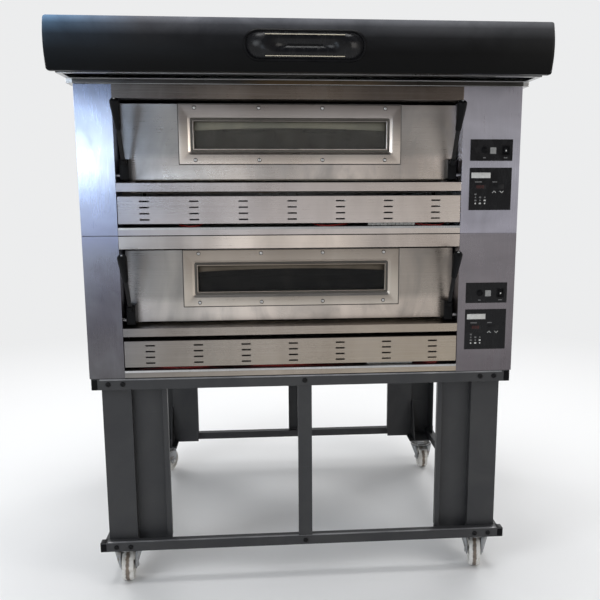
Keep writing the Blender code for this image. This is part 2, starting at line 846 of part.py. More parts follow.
def door_shell(deck):
    """Door tray open at the back, with the raised window frame and the glass rebate."""
    low_x = LEFT_COLUMN_X + DOOR_CLEARANCE
    high_x = RIGHT_COLUMN_X - DOOR_CLEARANCE
    low_z, high_z = deck.z(DOOR_Z[0]), deck.z(DOOR_Z[1])
    back = DOOR_FRONT_Y + DOOR_DEPTH
    door = box(deck.label("door"), (low_x, DOOR_FRONT_Y, low_z), (high_x, back, high_z))
    pocket = box_cutter(
        deck.label("door_pocket"),
        (low_x + DOOR_SKIN, DOOR_FRONT_Y + DOOR_SKIN, low_z + DOOR_SKIN),
        (high_x - DOOR_SKIN, back + 0.01, deck.z(DOOR_PAN_TOP) - DOOR_SKIN),
    )
    step = box_cutter(
        deck.label("door_top_step"),
        (low_x - 0.01, DOOR_FRONT_Y + DOOR_LIP_DEPTH, deck.z(DOOR_PAN_TOP)),
        (high_x + 0.01, back + 0.01, high_z + 0.01),
    )
    surround = box(
        deck.label("window_surround"),
        (WINDOW_X[0] - SURROUND, DOOR_FRONT_Y + 0.001, deck.z(WINDOW_Z[0]) - SURROUND),
        (WINDOW_X[1] + SURROUND, back - 0.004, deck.z(WINDOW_Z[1]) + SURROUND),
    )
    frame = box(
        deck.label("window_frame"),
        (FRAME_X[0], DOOR_FRONT_Y - FRAME_PROUD, deck.z(FRAME_Z[0])),
        (FRAME_X[1], DOOR_FRONT_Y + 0.001, deck.z(FRAME_Z[1])),
    )
    opening = box_cutter(
        deck.label("window_opening"),
        (WINDOW_X[0], DOOR_FRONT_Y - 0.02, deck.z(WINDOW_Z[0])),
        (WINDOW_X[1], back + 0.02, deck.z(WINDOW_Z[1])),
    )
    rebate = box_cutter(
        deck.label("glass_rebate"),
        (WINDOW_X[0] - REBATE, DOOR_FRONT_Y + GLASS_SET_IN, deck.z(WINDOW_Z[0]) - REBATE),
        (WINDOW_X[1] + REBATE, back + 0.02, deck.z(WINDOW_Z[1]) + REBATE),
    )
    cut(door, pocket, step)
    join(door, surround, frame)
    cut(door, opening, rebate)
    coat(door, "stainless")
    return [door, pocket, step, surround, frame, opening, rebate]


def door_glass(deck):
    front = DOOR_FRONT_Y + GLASS_SET_IN + GAP
    pane = box(
        deck.label("door_glass"),
        (WINDOW_X[0] - REBATE + GAP, front, deck.z(WINDOW_Z[0]) - REBATE + GAP),
        (WINDOW_X[1] + REBATE - GAP, front + GLASS_THICKNESS, deck.z(WINDOW_Z[1]) + REBATE - GAP),
    )
    coat(pane, "glass")
    return [pane]


def lever(deck, side):
    """Pivot block bolted to the door's corner, leaning bar and tapered grip."""
    x = LEVER_X[side]
    out = -1 if side == "left" else 1
    pivot_z = deck.z(PIVOT_Z)
    half = BLOCK_WIDTH / 2
    name = deck.label(f"door_lever_{side}")
    block = box(
        name,
        (x - half, PIVOT_Y - BLOCK_FRONT, pivot_z + BLOCK_Z[0]),
        (x + half, DOOR_FRONT_Y - GAP, pivot_z + BLOCK_Z[1]),
    )
    direction = Vector((0.0, -math.sin(LEVER_LEAN), math.cos(LEVER_LEAN)))
    pivot = Vector((x, PIVOT_Y, pivot_z))
    half_bar = (BAR_SPAN[1] - BAR_SPAN[0]) / 2
    half_x, half_y = BAR_SECTION[0] / 2, BAR_SECTION[1] / 2
    bar = box(name + "_bar", (-half_x, -half_y, -half_bar), (half_x, half_y, half_bar))
    bar.location = pivot + direction * sum(BAR_SPAN) / 2
    bar.rotation_euler = (LEVER_LEAN, 0.0, 0.0)
    grip_centre = pivot + direction * (LEVER_LENGTH - GRIP_LENGTH / 2)
    grip = cylinder(
        name + "_grip", grip_centre, GRIP_RADII[0], GRIP_LENGTH, direction, 24, GRIP_RADII[1]
    )
    pin_centre = pivot + Vector((out * (half + PIVOT_REACH / 2 - 0.002), 0.0, 0.0))
    pin = cylinder(name + "_pivot", pin_centre, PIVOT_RADIUS, PIVOT_REACH, (1, 0, 0))
    join(block, bar, grip, pin)
    coat(block, "black_plastic")
    return [block, bar, grip, pin]


def door_assembly(deck):
    middle = (LEFT_COLUMN_X + RIGHT_COLUMN_X) / 2
    axis = empty(deck.label("door_axis"), (middle, PIVOT_Y, deck.z(PIVOT_Z)))
    hang(axis, *door_shell(deck), *door_glass(deck))
    hang(axis, *lever(deck, "left"), *lever(deck, "right"))


def control_panel(deck):
    """Electronics tray behind the right column, with two black plates in its windows."""
    name = deck.label("control_panel")
    back_of_sheet = FRONT_Y + SHEET
    tray = box(
        name,
        (CONTROL_X[0] + 0.010, back_of_sheet + 0.001, deck.z(DISPLAY_PLATE_Z[0] + 0.010)),
        (CONTROL_X[1] - 0.010, back_of_sheet + HOUSING_DEPTH, deck.z(SWITCH_PLATE_Z[1] - 0.010)),
    )
    inset = PLATE_LIP + GAP
    for plate, (low_z, high_z) in (("switch", SWITCH_PLATE_Z), ("display", DISPLAY_PLATE_Z)):
        face = box(
            f"{name}_{plate}_plate",
            (CONTROL_X[0], FRONT_Y - PLATE_PROUD, deck.z(low_z)),
            (CONTROL_X[1], FRONT_Y - GAP, deck.z(high_z)),
        )
        neck = box(
            f"{name}_{plate}_neck",
            (CONTROL_X[0] + inset, FRONT_Y - PLATE_PROUD / 2, deck.z(low_z + inset)),
            (CONTROL_X[1] - inset, back_of_sheet + 0.004, deck.z(high_z - inset)),
        )
        join(tray, neck, face)
    x, height = ROCKER_CENTRE
    half_width = ROCKER_SIZE[0] / 2 + ROCKER_CLEARANCE
    half_height = ROCKER_SIZE[1] / 2 + ROCKER_CLEARANCE
    well = box_cutter(
        f"{name}_rocker_well",
        (x - half_width, FRONT_Y - 0.01, deck.z(height) - half_height),
        (x + half_width, FRONT_Y + 0.022, deck.z(height) + half_height),
    )
    cut(tray, well)
    coat(tray, "black_gloss")


def power_switch(deck):
    """Rocker that tips about a cross axis inside its well."""
    x, height = ROCKER_CENTRE
    z = deck.z(height)
    half_width, half_height = ROCKER_SIZE[0] / 2, ROCKER_SIZE[1] / 2
    front = FRONT_Y - PLATE_PROUD
    outline = [
        (front + 0.0005, z + half_height),
        (front - ROCKER_PROUD, z - half_height + 0.001),
        (front + ROCKER_DEPTH - 0.004, z - half_height + 0.001),
        (front + ROCKER_DEPTH, z),
        (front + ROCKER_DEPTH - 0.004, z + half_height),
    ]
    rocker = flat_plate(deck.label("power_switch"), outline, 0, x, 2 * half_width)
    coat(rocker, "black_gloss")
    axis = empty(deck.label("switch_axis"), (x, front + 0.006, z))
    hang(axis, rocker)


def build_deck(name, base):
    deck = Deck(name, base)
    casing(deck)
    back_cover(deck)
    column(deck, "left")
    column(deck, "right")
    fascia(deck)
    ledge(deck)
    vent_panel(deck)
    chamber(deck)
    stone_floor(deck)
    heating_element(deck, "top_element", UPPER_ELEMENT_Z)
    heating_element(deck, "bottom_element", LOWER_ELEMENT_Z)
    door_assembly(deck)
    control_panel(deck)
    power_switch(deck)


# ---- Hood ------------------------------------------------------------------------------


def hood_side(inset):
    """Side view of the hood's body, drawn in by a distance; its overhang sits higher."""
    front, step, back = HOOD_BODY_FRONT_Y + inset, HOOD_STEP_Y + inset, HOOD_BODY_BACK_Y - inset
    lip, base, top = HOOD_LIP_Z + inset, HOOD_BASE_Z + inset, HOOD_TOP_Z - inset
    return [(front, lip), (step, lip), (step, base), (back, base), (back, top), (front, top)]


def hood_body():
    """Plenum over the upper deck, open under its front overhang and at the flue."""
    width = 2 * HOOD_HALF_WIDTH
    body = flat_plate("hood_body", hood_side(0.0), 0, 0.0, width)
    inside = flat_plate("hood_inside", hood_side(SHEET), 0, 0.0, width - 2 * SHEET, CUTTERS)
    intake = box_cutter(
        "hood_intake",
        (-INTAKE_X, INTAKE_Y[0], HOOD_LIP_Z - 0.01),
        (INTAKE_X, INTAKE_Y[1], HOOD_LIP_Z + 0.01),
    )
    flue_hole = cylinder(
        "hood_flue_hole", (0, FLUE_Y, HOOD_TOP_Z), FLUE_RADIUS - FLUE_WALL, 0.03, (0, 0, 1), 40,
        collection=CUTTERS,
    )
    cut(body, inside, intake, flue_hole)
    coat(body, "stainless")


def hood_arc():
    """Bulging profile of the hood's front, from the lower lip to the top edge."""
    low_z, high_z = HOOD_PANEL_Z
    points = [(HOOD_BODY_FRONT_Y - 0.006, low_z + 0.003)]
    depth = HOOD_PANEL_BACK_Y - HOOD_NOSE_Y - 0.004
    for step in range(HOOD_ARC_POINTS + 1):
        along = step / HOOD_ARC_POINTS
        height = low_z + 0.002 + along * (high_z - low_z - 0.004)
        bulge = math.sin(math.pi * (0.20 + 0.55 * along))
        points.append((HOOD_NOSE_Y + 0.002 + depth * (1.0 - bulge), height))
    points.append((HOOD_BODY_FRONT_Y - 0.004, high_z - 0.002))
    return points


def hood_front():
    panel = folded_sheet(
        "hood_front", hood_arc(), 0, -HOOD_FRONT_HALF_WIDTH, HOOD_FRONT_HALF_WIDTH, 0.003
    )
    coat(panel, "black_paint")
    smooth(panel)


def hood_baffle():
    """Grease baffle with one long slot, just inside the intake."""
    baffle = box(
        "hood_baffle",
        (-INTAKE_X - 0.012, INTAKE_Y[0] - 0.008, BAFFLE_Z),
        (INTAKE_X + 0.012, INTAKE_Y[1] + 0.008, BAFFLE_Z + SHEET),
    )
    slot_y = sum(INTAKE_Y) / 2
    slot = box_cutter(
        "baffle_slot",
        (BAFFLE_SLOT_X[0], slot_y - 0.006, BAFFLE_Z - 0.01),
        (BAFFLE_SLOT_X[1], slot_y + 0.006, BAFFLE_Z + 0.01),
    )
    cut(baffle, slot)
    coat(baffle, "black_paint")


def flue_collar():
    base = HOOD_TOP_Z + GAP
    inner = FLUE_RADIUS - FLUE_WALL
    profile = [
        (inner, base + FLUE_HEIGHT),
        (FLUE_RADIUS, base + FLUE_HEIGHT),
        (FLUE_RADIUS, base + 0.002),
        (FLUE_RADIUS + FLUE_FLANGE, base + 0.002),
        (FLUE_RADIUS + FLUE_FLANGE, base),
        (inner, base),
    ]
    collar = turned("flue_collar", profile, 40)
    collar.location = (0.0, FLUE_Y, 0.0)
    coat(collar, "stainless")
    smooth(collar)


# ---- Assembly --------------------------------------------------------------------------

stand_rails()
stand_legs()
centre_posts()
castors()
for deck_name, deck_base in DECK_BASES.items():
    build_deck(deck_name, deck_base)
hood_body()
hood_front()
hood_baffle()
flue_collar()
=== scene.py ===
"""Looks of the two-deck pizza oven: fine shapes, fittings and materials round the CAD frame."""

import json
import math

import bmesh
import bpy
from mathutils import Matrix, Vector


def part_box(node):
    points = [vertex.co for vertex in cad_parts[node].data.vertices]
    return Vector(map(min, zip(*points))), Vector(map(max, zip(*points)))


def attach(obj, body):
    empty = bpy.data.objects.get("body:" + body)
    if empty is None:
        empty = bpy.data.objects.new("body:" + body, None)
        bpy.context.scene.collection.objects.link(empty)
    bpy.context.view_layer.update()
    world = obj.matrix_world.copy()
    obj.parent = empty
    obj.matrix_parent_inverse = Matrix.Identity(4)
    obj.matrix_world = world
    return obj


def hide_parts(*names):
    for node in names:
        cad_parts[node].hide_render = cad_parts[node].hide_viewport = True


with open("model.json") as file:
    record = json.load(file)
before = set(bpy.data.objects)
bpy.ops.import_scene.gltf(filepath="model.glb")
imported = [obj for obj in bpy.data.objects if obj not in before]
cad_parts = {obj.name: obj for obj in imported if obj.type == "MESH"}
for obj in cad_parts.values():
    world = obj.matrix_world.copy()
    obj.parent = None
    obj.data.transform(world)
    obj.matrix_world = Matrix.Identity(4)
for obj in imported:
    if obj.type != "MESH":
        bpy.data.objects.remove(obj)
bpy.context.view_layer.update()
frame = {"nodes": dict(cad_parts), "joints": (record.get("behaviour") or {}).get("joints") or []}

ROOT = "oven_body"
DECKS = ("lower", "upper")
SIDES = ("left", "right")
CORNERS = ("front_left", "front_right", "back_left", "back_right")
JOINTS = {joint["name"]: joint for joint in frame["joints"]}


def joint_place(name):
    return Vector(JOINTS[name]["pos_m"])


# ---- Camera, lights and stage ----------------------------------------------------------

FRONT_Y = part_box("upper_left_column")[0][1]
CAMERA_PLACE = Vector((-0.1181, FRONT_Y - 2.2194, 1.3306))
CAMERA_TURN = (math.radians(90.0 - 9.447), math.radians(-0.136), math.radians(-4.362))
FOCAL_LENGTH = 42.62
CAMERA_SHIFT = -0.0341


def add_camera():
    data = bpy.data.cameras.new("camera")
    data.sensor_width = 36.0
    data.lens = FOCAL_LENGTH
    data.shift_x = CAMERA_SHIFT
    camera = bpy.data.objects.new("camera", data)
    camera.location = CAMERA_PLACE
    pitch, roll, yaw = CAMERA_TURN
    look = Matrix.Rotation(yaw, 4, "Z") @ Matrix.Rotation(pitch, 4, "X") @ Matrix.Rotation(roll, 4, "Z")
    camera.rotation_euler = look.to_euler()
    bpy.context.scene.collection.objects.link(camera)
    bpy.context.scene.camera = camera


def area_light(name, place, target, size, power, colour=(1.0, 1.0, 1.0)):
    data = bpy.data.lights.new(name, "AREA")
    data.shape = "RECTANGLE"
    data.size, data.size_y = size
    data.energy = power
    data.color = colour
    light = bpy.data.objects.new(name, data)
    light.location = place
    aim = Vector(target) - Vector(place)
    light.rotation_euler = aim.to_track_quat("-Z", "Y").to_euler()
    bpy.context.scene.collection.objects.link(light)


def add_lights():
    area_light("left_window", (-1.95, -4.6, 1.62), (-0.6, -0.5, 1.4), (0.80, 0.70), 15, (0.70, 0.84, 1.0))
    area_light("key_left", (-3.4, -3.0, 2.8), (-0.1, -0.3, 1.0), (1.8, 2.0), 55, (0.90, 0.95, 1.0))
    area_light("fill_right", (3.6, -2.6, 2.3), (0.1, -0.2, 0.9), (1.6, 2.0), 34, (1.0, 0.96, 0.91))
    area_light("top", (0.0, -0.2, 4.4), (0.0, 0.0, 0.8), (3.0, 2.6), 150)
    area_light("back_left", (-3.0, 3.2, 2.6), (0.0, 0.3, 0.9), (2.0, 2.0), 60)
    area_light("back_right", (3.0, 3.2, 2.6), (0.0, 0.3, 0.9), (2.0, 2.0), 60)


BACKDROP = (0.84, 0.845, 0.85, 1.0)


def add_world():
    """Plain pale backdrop; what the steel mirrors is a darker room in front of the object."""
    world = bpy.data.worlds.new("studio")
    world.use_nodes = True
    tree = world.node_tree
    shade = tree.nodes["Background"]

    def node(kind, **settings):
        made = tree.nodes.new(kind)
        for key, value in settings.items():
            setattr(made, key, value)
        return made

    def ramp(source, low, high):
        made = node("ShaderNodeMapRange")
        made.inputs["From Min"].default_value = low
        made.inputs["From Max"].default_value = high
        tree.links.new(source, made.inputs["Value"])
        return made.outputs["Result"]

    def mix(factor, first, second):
        made = node("ShaderNodeMix", data_type="RGBA")
        tree.links.new(factor, made.inputs["Factor"])
        for socket, value in ((made.inputs[6], first), (made.inputs[7], second)):
            if isinstance(value, tuple):
                socket.default_value = value
            else:
                tree.links.new(value, socket)
        return made.outputs[2]

    split = node("ShaderNodeSeparateXYZ")
    tree.links.new(node("ShaderNodeTexCoord").outputs["Generated"], split.inputs[0])
    room = mix(ramp(split.outputs["Z"], -0.05, 0.55), (0.46, 0.43, 0.40, 1.0), (0.15, 0.16, 0.18, 1.0))
    around = mix(ramp(split.outputs["Y"], -0.35, 0.45), room, (0.62, 0.63, 0.64, 1.0))
    seen = mix(node("ShaderNodeLightPath").outputs["Is Camera Ray"], around, BACKDROP)
    tree.links.new(seen, shade.inputs["Color"])
    shade.inputs["Strength"].default_value = 1.0
    bpy.context.scene.world = world
    bpy.context.scene.view_settings.view_transform = "Standard"


def add_stage():
    """Pale floor that fades into the backdrop."""
    builder = bmesh.new()
    bmesh.ops.create_circle(builder, cap_ends=True, segments=64, radius=60.0)
    mesh = bpy.data.meshes.new("studio_floor")
    builder.to_mesh(mesh)
    builder.free()
    floor = bpy.data.objects.new("studio_floor", mesh)
    bpy.context.scene.collection.objects.link(floor)
    s = Shade("studio_floor", Base_Color=(0.80, 0.80, 0.80, 1.0), Roughness=0.85)
    reach = s.node("ShaderNodeVectorMath", operation="LENGTH")
    s.link(s.place, reach.inputs[0])
    fade = s.ramp(reach.outputs["Value"], 1.2, 4.0)
    glow = s.node("ShaderNodeEmission")
    glow.inputs["Color"].default_value = BACKDROP
    join = s.node("ShaderNodeMixShader")
    s.link(fade, join.inputs["Fac"])
    s.link(s.shader.outputs["BSDF"], join.inputs[1])
    s.link(glow.outputs["Emission"], join.inputs[2])
    s.link(join.outputs["Shader"], s.tree.nodes["Material Output"].inputs["Surface"])
    mesh.materials.append(s.material)


# ---- Materials -------------------------------------------------------------------------


class Shade:
    """A node material under construction, on coordinates in metres."""

    def __init__(self, name, **constants):
        self.material = bpy.data.materials.new(name)
        self.material.use_nodes = True
        self.tree = self.material.node_tree
        self.shader = self.tree.nodes["Principled BSDF"]
        for socket, value in constants.items():
            self.shader.inputs[socket.replace("_", " ")].default_value = value
        self.place = self.node("ShaderNodeTexCoord").outputs["Object"]

    def node(self, kind, **settings):
        made = self.tree.nodes.new(kind)
        for key, value in settings.items():
            setattr(made, key, value)
        return made

    def link(self, source, target):
        self.tree.links.new(source, target)

    def noise(self, scale, stretch=(1, 1, 1), detail=4.0, rough=0.55, distort=0.0, shift=0.0):
        mapping = self.node("ShaderNodeMapping")
        mapping.inputs["Scale"].default_value = stretch
        mapping.inputs["Location"].default_value = (shift, shift * 0.7, shift * 1.3)
        self.link(self.place, mapping.inputs["Vector"])
        made = self.node("ShaderNodeTexNoise")
        made.inputs["Scale"].default_value = scale
        made.inputs["Detail"].default_value = detail
        made.inputs["Roughness"].default_value = rough
        made.inputs["Distortion"].default_value = distort
        self.link(mapping.outputs["Vector"], made.inputs["Vector"])
        return made.outputs["Fac"]

    def ramp(self, source, low, high, start=0.0, end=1.0):
        """Maps a value from low..high to start..end, clamped."""
        made = self.node("ShaderNodeMapRange")
        made.inputs["From Min"].default_value = low
        made.inputs["From Max"].default_value = high
        made.inputs["To Min"].default_value = start
        made.inputs["To Max"].default_value = end
        self.link(source, made.inputs["Value"])
        return made.outputs["Result"]

    def math(self, operation, first, second):
        made = self.node("ShaderNodeMath", operation=operation)
        for socket, value in zip(made.inputs, (first, second)):
            if isinstance(value, (int, float)):
                socket.default_value = value
            else:
                self.link(value, socket)
        return made.outputs["Value"]

    def axis(self, index):
        split = self.node("ShaderNodeSeparateXYZ")
        self.link(self.place, split.inputs["Vector"])
        return split.outputs[index]

    def mix(self, factor, first, second):
        """Blends two colours, or colour sockets, by a factor socket."""
        made = self.node("ShaderNodeMix", data_type="RGBA")
        if isinstance(factor, (int, float)):
            made.inputs["Factor"].default_value = factor
        else:
            self.link(factor, made.inputs["Factor"])
        for socket, value in ((made.inputs[6], first), (made.inputs[7], second)):
            if isinstance(value, tuple):
                socket.default_value = (*value, 1.0)
            else:
                self.link(value, socket)
        return made.outputs[2]

    def stops(self, source, stops):
        """Colours at given values of a source, blended smoothly between."""
        first, last = stops[0][0], stops[-1][0]
        made = self.node("ShaderNodeValToRGB")
        elements = made.color_ramp.elements
        while len(elements) < len(stops):
            elements.new(0.5)
        for element, (value, colour) in zip(elements, stops):
            element.position = (value - first) / (last - first)
            element.color = (*colour, 1.0)
        self.link(self.ramp(source, first, last), made.inputs["Fac"])
        return made.outputs["Color"]

    def multiply(self, first, second):
        made = self.node("ShaderNodeMix", data_type="RGBA", blend_type="MULTIPLY")
        made.inputs["Factor"].default_value = 1.0
        self.link(first, made.inputs[6])
        self.link(second, made.inputs[7])
        return made.outputs[2]

    def bump(self, height, strength, distance=0.001, under=None):
        made = self.node("ShaderNodeBump")
        made.inputs["Strength"].default_value = strength
        made.inputs["Distance"].default_value = distance
        self.link(height, made.inputs["Height"])
        if under is not None:
            self.link(under, made.inputs["Normal"])
        return made.outputs["Normal"]

    def finish(self, colour=None, roughness=None, normal=None):
        for value, socket in ((colour, "Base Color"), (roughness, "Roughness"), (normal, "Normal")):
            if value is not None:
                self.link(value, self.shader.inputs[socket])
        return self.material


GRAIN = {"x": (1.2, 160.0, 260.0), "z": (260.0, 160.0, 1.2), "y": (260.0, 1.2, 260.0)}
REFLECTION_BANDS = {"x": (1.0, 1.0, 0.22), "z": (0.5, 1.0, 1.0), "y": (1.0, 1.0, 0.6)}


def brushed_steel(name, tint, dark_tone, grain="x", roughness=(0.22, 0.36), smudge_and_reflection=0.5, tones=(), lines=0.5):
    """Brushed sheet with wiped smudges, finger marks and slow bands of painted reflection across the grain.

    Each of tones is (axis, waver, ((metres, colour), ...)): a change of colour along an axis, standing for
    painted reflection and shade.
    """
    s = Shade(name, Metallic=1.0)
    grains = s.noise(3.0, GRAIN[grain], detail=3.0, rough=0.65)
    # slow bands of painted reflection, lighter and darker across the grain
    bands = s.noise(4.2, REFLECTION_BANDS[grain], detail=3.0, distort=0.5, shift=1.7)
    clouds = s.noise(2.6, (1.0, 1.0, 1.3), detail=3.0, distort=1.2)
    wipes_and_reflections = s.noise(7.0, (1.0, 1.0, 0.40), detail=5.0, distort=2.2, shift=3.1)
    prints = s.noise(26.0, (1.0, 1.0, 1.0), detail=2.0, shift=7.7)
    dirt = s.math("MULTIPLY", s.ramp(wipes_and_reflections, 0.44, 0.70), s.ramp(prints, 0.35, 0.62, 0.5, 1.0))
    colour = s.mix(s.ramp(bands, 0.36, 0.64), dark_tone, tint)
    # tones: painted reflection and shade along an axis
    for axis, waver, stops in tones:
        drift = s.math("ADD", s.axis(axis), s.ramp(clouds, 0.2, 0.8, -waver, waver))
        colour = s.multiply(colour, s.stops(drift, stops))
    colour = s.mix(s.ramp(grains, 0.36, 0.50, 0.22 * lines, 0.0), colour, tuple(c * 0.5 for c in dark_tone))
    glint = tuple(min(1.0, c * 1.5) for c in tint)
    colour = s.mix(s.ramp(grains, 0.52, 0.66, 0.0, 0.16 * lines), colour, glint)
    # wiped smudges and finger marks darken the sheet; where strong, as on the doors, they also paint dark
    # reflections
    colour = s.mix(s.math("MULTIPLY", dirt, smudge_and_reflection * 0.5), colour, tuple(c * 0.5 for c in dark_tone))
    low, high = roughness
    fine = s.ramp(grains, 0.3, 0.7, low, low + 0.06)
    rough = s.math("ADD", fine, s.ramp(clouds, 0.3, 0.7, 0.0, high - low - 0.06))
    rough = s.math("ADD", rough, s.math("MULTIPLY", dirt, 0.16 * smudge_and_reflection))
    normal = s.bump(grains, 0.10, 0.0004)
    normal = s.bump(clouds, 0.10, 0.004, under=normal)
    return s.finish(colour, rough, normal)


def heated_steel(name):
    """Liner sheet browned and blued by heat."""
    s = Shade(name, Metallic=1.0)
    clouds = s.noise(5.0, detail=5.0, distort=0.8)
    lines = s.noise(3.0, GRAIN["x"], detail=2.0)
    spots = s.noise(60.0, detail=4.0, shift=2.0)
    colour = s.mix(s.ramp(clouds, 0.35, 0.65), (0.22, 0.17, 0.12), (0.36, 0.34, 0.33))
    colour = s.mix(s.ramp(spots, 0.58, 0.70, 0.0, 0.7), colour, (0.07, 0.05, 0.04))
    rough = s.ramp(clouds, 0.3, 0.7, 0.38, 0.60)
    return s.finish(colour, rough, s.bump(lines, 0.10, 0.0005))


def coated_metal(name, base, light, roughness, scuff=0.5, shine=0.35, tones=()):
    """Powder-coated steel with a fine orange-peel, dust and light scuffs."""
    s = Shade(name, Metallic=0.0, Specular_IOR_Level=shine)
    peel = s.noise(900.0, detail=2.0)
    dust = s.noise(5.5, detail=6.0, rough=0.62, distort=0.6)
    scratches = s.noise(14.0, (1.0, 1.0, 14.0), detail=6.0, rough=0.7, distort=1.6, shift=4.0)
    colour = s.mix(s.ramp(dust, 0.38, 0.70, 0.0, 0.75), base, light)
    # tones: painted highlight, reflection and shade along an axis
    for axis, _, stops in tones:
        colour = s.multiply(colour, s.stops(s.axis(axis), stops))
    marks = s.ramp(scratches, 0.66, 0.72, 0.0, scuff)
    colour = s.mix(marks, colour, tuple(min(1.0, c * 2.2 + 0.015) for c in base))
    rough = s.ramp(dust, 0.3, 0.7, roughness - 0.06, roughness + 0.10)
    rough = s.math("ADD", rough, s.math("MULTIPLY", marks, 0.1))
    return s.finish(colour, rough, s.bump(peel, 0.12, 0.0006))


def moulded_plastic(name, base, worn, roughness):
    """Moulded plastic with a fine texture, polished where hands touch it."""
    s = Shade(name, Metallic=0.0, Specular_IOR_Level=0.08)
    texture = s.noise(700.0, detail=2.0)
    wear = s.noise(16.0, detail=5.0, distort=0.5)
    colour = s.mix(s.ramp(wear, 0.40, 0.72, 0.0, 0.8), base, worn)
    rough = s.ramp(wear, 0.3, 0.7, roughness - 0.12, roughness + 0.10)
    return s.finish(colour, rough, s.bump(texture, 0.15, 0.0004))


def gloss_black(name, roughness=0.14):
    """Glossy black plate with wiped dust and finger marks."""
    s = Shade(name, Metallic=0.0, Specular_IOR_Level=0.20)
    smears = s.noise(18.0, (1.0, 1.0, 0.5), detail=5.0, distort=1.8)
    specks = s.noise(260.0, detail=3.0, shift=5.0)
    colour = s.mix(s.ramp(smears, 0.45, 0.75, 0.0, 0.6), (0.005, 0.005, 0.006), (0.014, 0.014, 0.015))
    colour = s.mix(s.ramp(specks, 0.70, 0.76, 0.0, 0.25), colour, (0.08, 0.08, 0.08))
    rough = s.ramp(smears, 0.35, 0.7, roughness, roughness + 0.20)
    return s.finish(colour, rough, s.bump(smears, 0.03, 0.001))


def oven_glass(name, clear, filmed, index):
    """Heat-proof pane with a baked-on film."""
    s = Shade(name, Metallic=0.0, IOR=index, Transmission_Weight=0.92, Specular_IOR_Level=0.5)
    film = s.noise(8.0, (1.0, 1.0, 0.6), detail=5.0, distort=1.4)
    colour = s.mix(s.ramp(film, 0.35, 0.70), clear, filmed)
    return s.finish(colour, s.ramp(film, 0.4, 0.75, 0.03, 0.16))


def hearth_stone():
    s = Shade("hearth_stone", Metallic=0.0)
    pores = s.noise(240.0, detail=6.0)
    patches = s.noise(7.0, detail=6.0, distort=0.7)
    burns = s.noise(11.0, detail=5.0, shift=6.0)
    colour = s.mix(s.ramp(patches, 0.35, 0.68), (0.50, 0.42, 0.32), (0.70, 0.65, 0.56))
    colour = s.mix(s.ramp(burns, 0.56, 0.74, 0.0, 0.85), colour, (0.10, 0.07, 0.05))
    return s.finish(colour, s.ramp(pores, 0.3, 0.7, 0.80, 0.95), s.bump(pores, 0.5, 0.001))


def element_sheath():
    s = Shade("element_sheath", Metallic=0.7)
    scale = s.noise(180.0, detail=4.0)
    colour = s.mix(s.ramp(scale, 0.4, 0.65), (0.05, 0.045, 0.045), (0.17, 0.14, 0.13))
    return s.finish(colour, s.ramp(scale, 0.3, 0.7, 0.5, 0.75), s.bump(scale, 0.3, 0.0004))


def zinc_plate(name="zinc_plate", tint=(0.62, 0.62, 0.62), roughness=(0.28, 0.55)):
    s = Shade(name, Metallic=1.0)
    spangle = s.node("ShaderNodeTexVoronoi")
    spangle.inputs["Scale"].default_value = 160.0
    s.link(s.place, spangle.inputs["Vector"])
    stains = s.noise(34.0, detail=5.0, distort=0.6)
    flake = s.ramp(spangle.outputs["Distance"], 0.1, 0.9, 0.0, 0.5)
    colour = s.mix(flake, tint, tuple(c * 0.78 for c in tint))
    colour = s.mix(s.ramp(stains, 0.55, 0.72, 0.0, 0.8), colour, (0.22, 0.17, 0.12))
    return s.finish(colour, s.ramp(stains, 0.35, 0.7, *roughness), s.bump(stains, 0.1, 0.0006))


def nylon_wheel(name, centre, axis):
    """White nylon, its tread darkened by a brown band of floor dirt."""
    s = Shade(name, Metallic=0.0)
    offset = s.node("ShaderNodeVectorMath", operation="SUBTRACT")
    s.link(s.place, offset.inputs[0])
    offset.inputs[1].default_value = centre
    along = s.node("ShaderNodeVectorMath", operation="DOT_PRODUCT")
    s.link(offset.outputs[0], along.inputs[0])
    along.inputs[1].default_value = axis
    reach = s.node("ShaderNodeVectorMath", operation="LENGTH")
    s.link(offset.outputs[0], reach.inputs[0])
    across = s.math("ABSOLUTE", along.outputs["Value"], 0.0)
    fray = s.noise(60.0, detail=5.0, shift=1.0)
    band = s.ramp(s.math("ADD", across, s.ramp(fray, 0.3, 0.7, -0.002, 0.002)), 0.0045, 0.0075, 1.0, 0.0)
    tread = s.ramp(reach.outputs["Value"], 0.0465, 0.0485)
    grime = s.noise(38.0, detail=6.0, rough=0.65)
    colour = s.mix(s.ramp(grime, 0.45, 0.72, 0.0, 0.7), (0.74, 0.73, 0.70), (0.40, 0.36, 0.30))
    dirty = s.mix(s.ramp(fray, 0.35, 0.65), (0.07, 0.045, 0.03), (0.20, 0.14, 0.09))
    colour = s.mix(s.math("MULTIPLY", s.math("MULTIPLY", band, tread), 0.9), colour, dirty)
    return s.finish(colour, s.ramp(grime, 0.3, 0.7, 0.35, 0.6), s.bump(grime, 0.15, 0.0008))


def plain_print(name, tone, roughness=0.45):
    """Slightly uneven printed or enamelled mark."""
    s = Shade(name, Metallic=0.0)
    fade = s.noise(90.0, detail=4.0)
    colour = s.mix(s.ramp(fade, 0.35, 0.7), tone, tuple(c * 0.82 for c in tone))
    return s.finish(colour, s.ramp(fade, 0.3, 0.7, roughness, roughness + 0.12))


def silicone(name, tone):
    s = Shade(name, Metallic=0.0)
    dust = s.noise(70.0, detail=5.0)
    colour = s.mix(s.ramp(dust, 0.4, 0.7, 0.0, 0.6), tone, tuple(c * 0.5 + 0.04 for c in tone))
    return s.finish(colour, s.ramp(dust, 0.3, 0.7, 0.35, 0.55), s.bump(dust, 0.1, 0.0004))
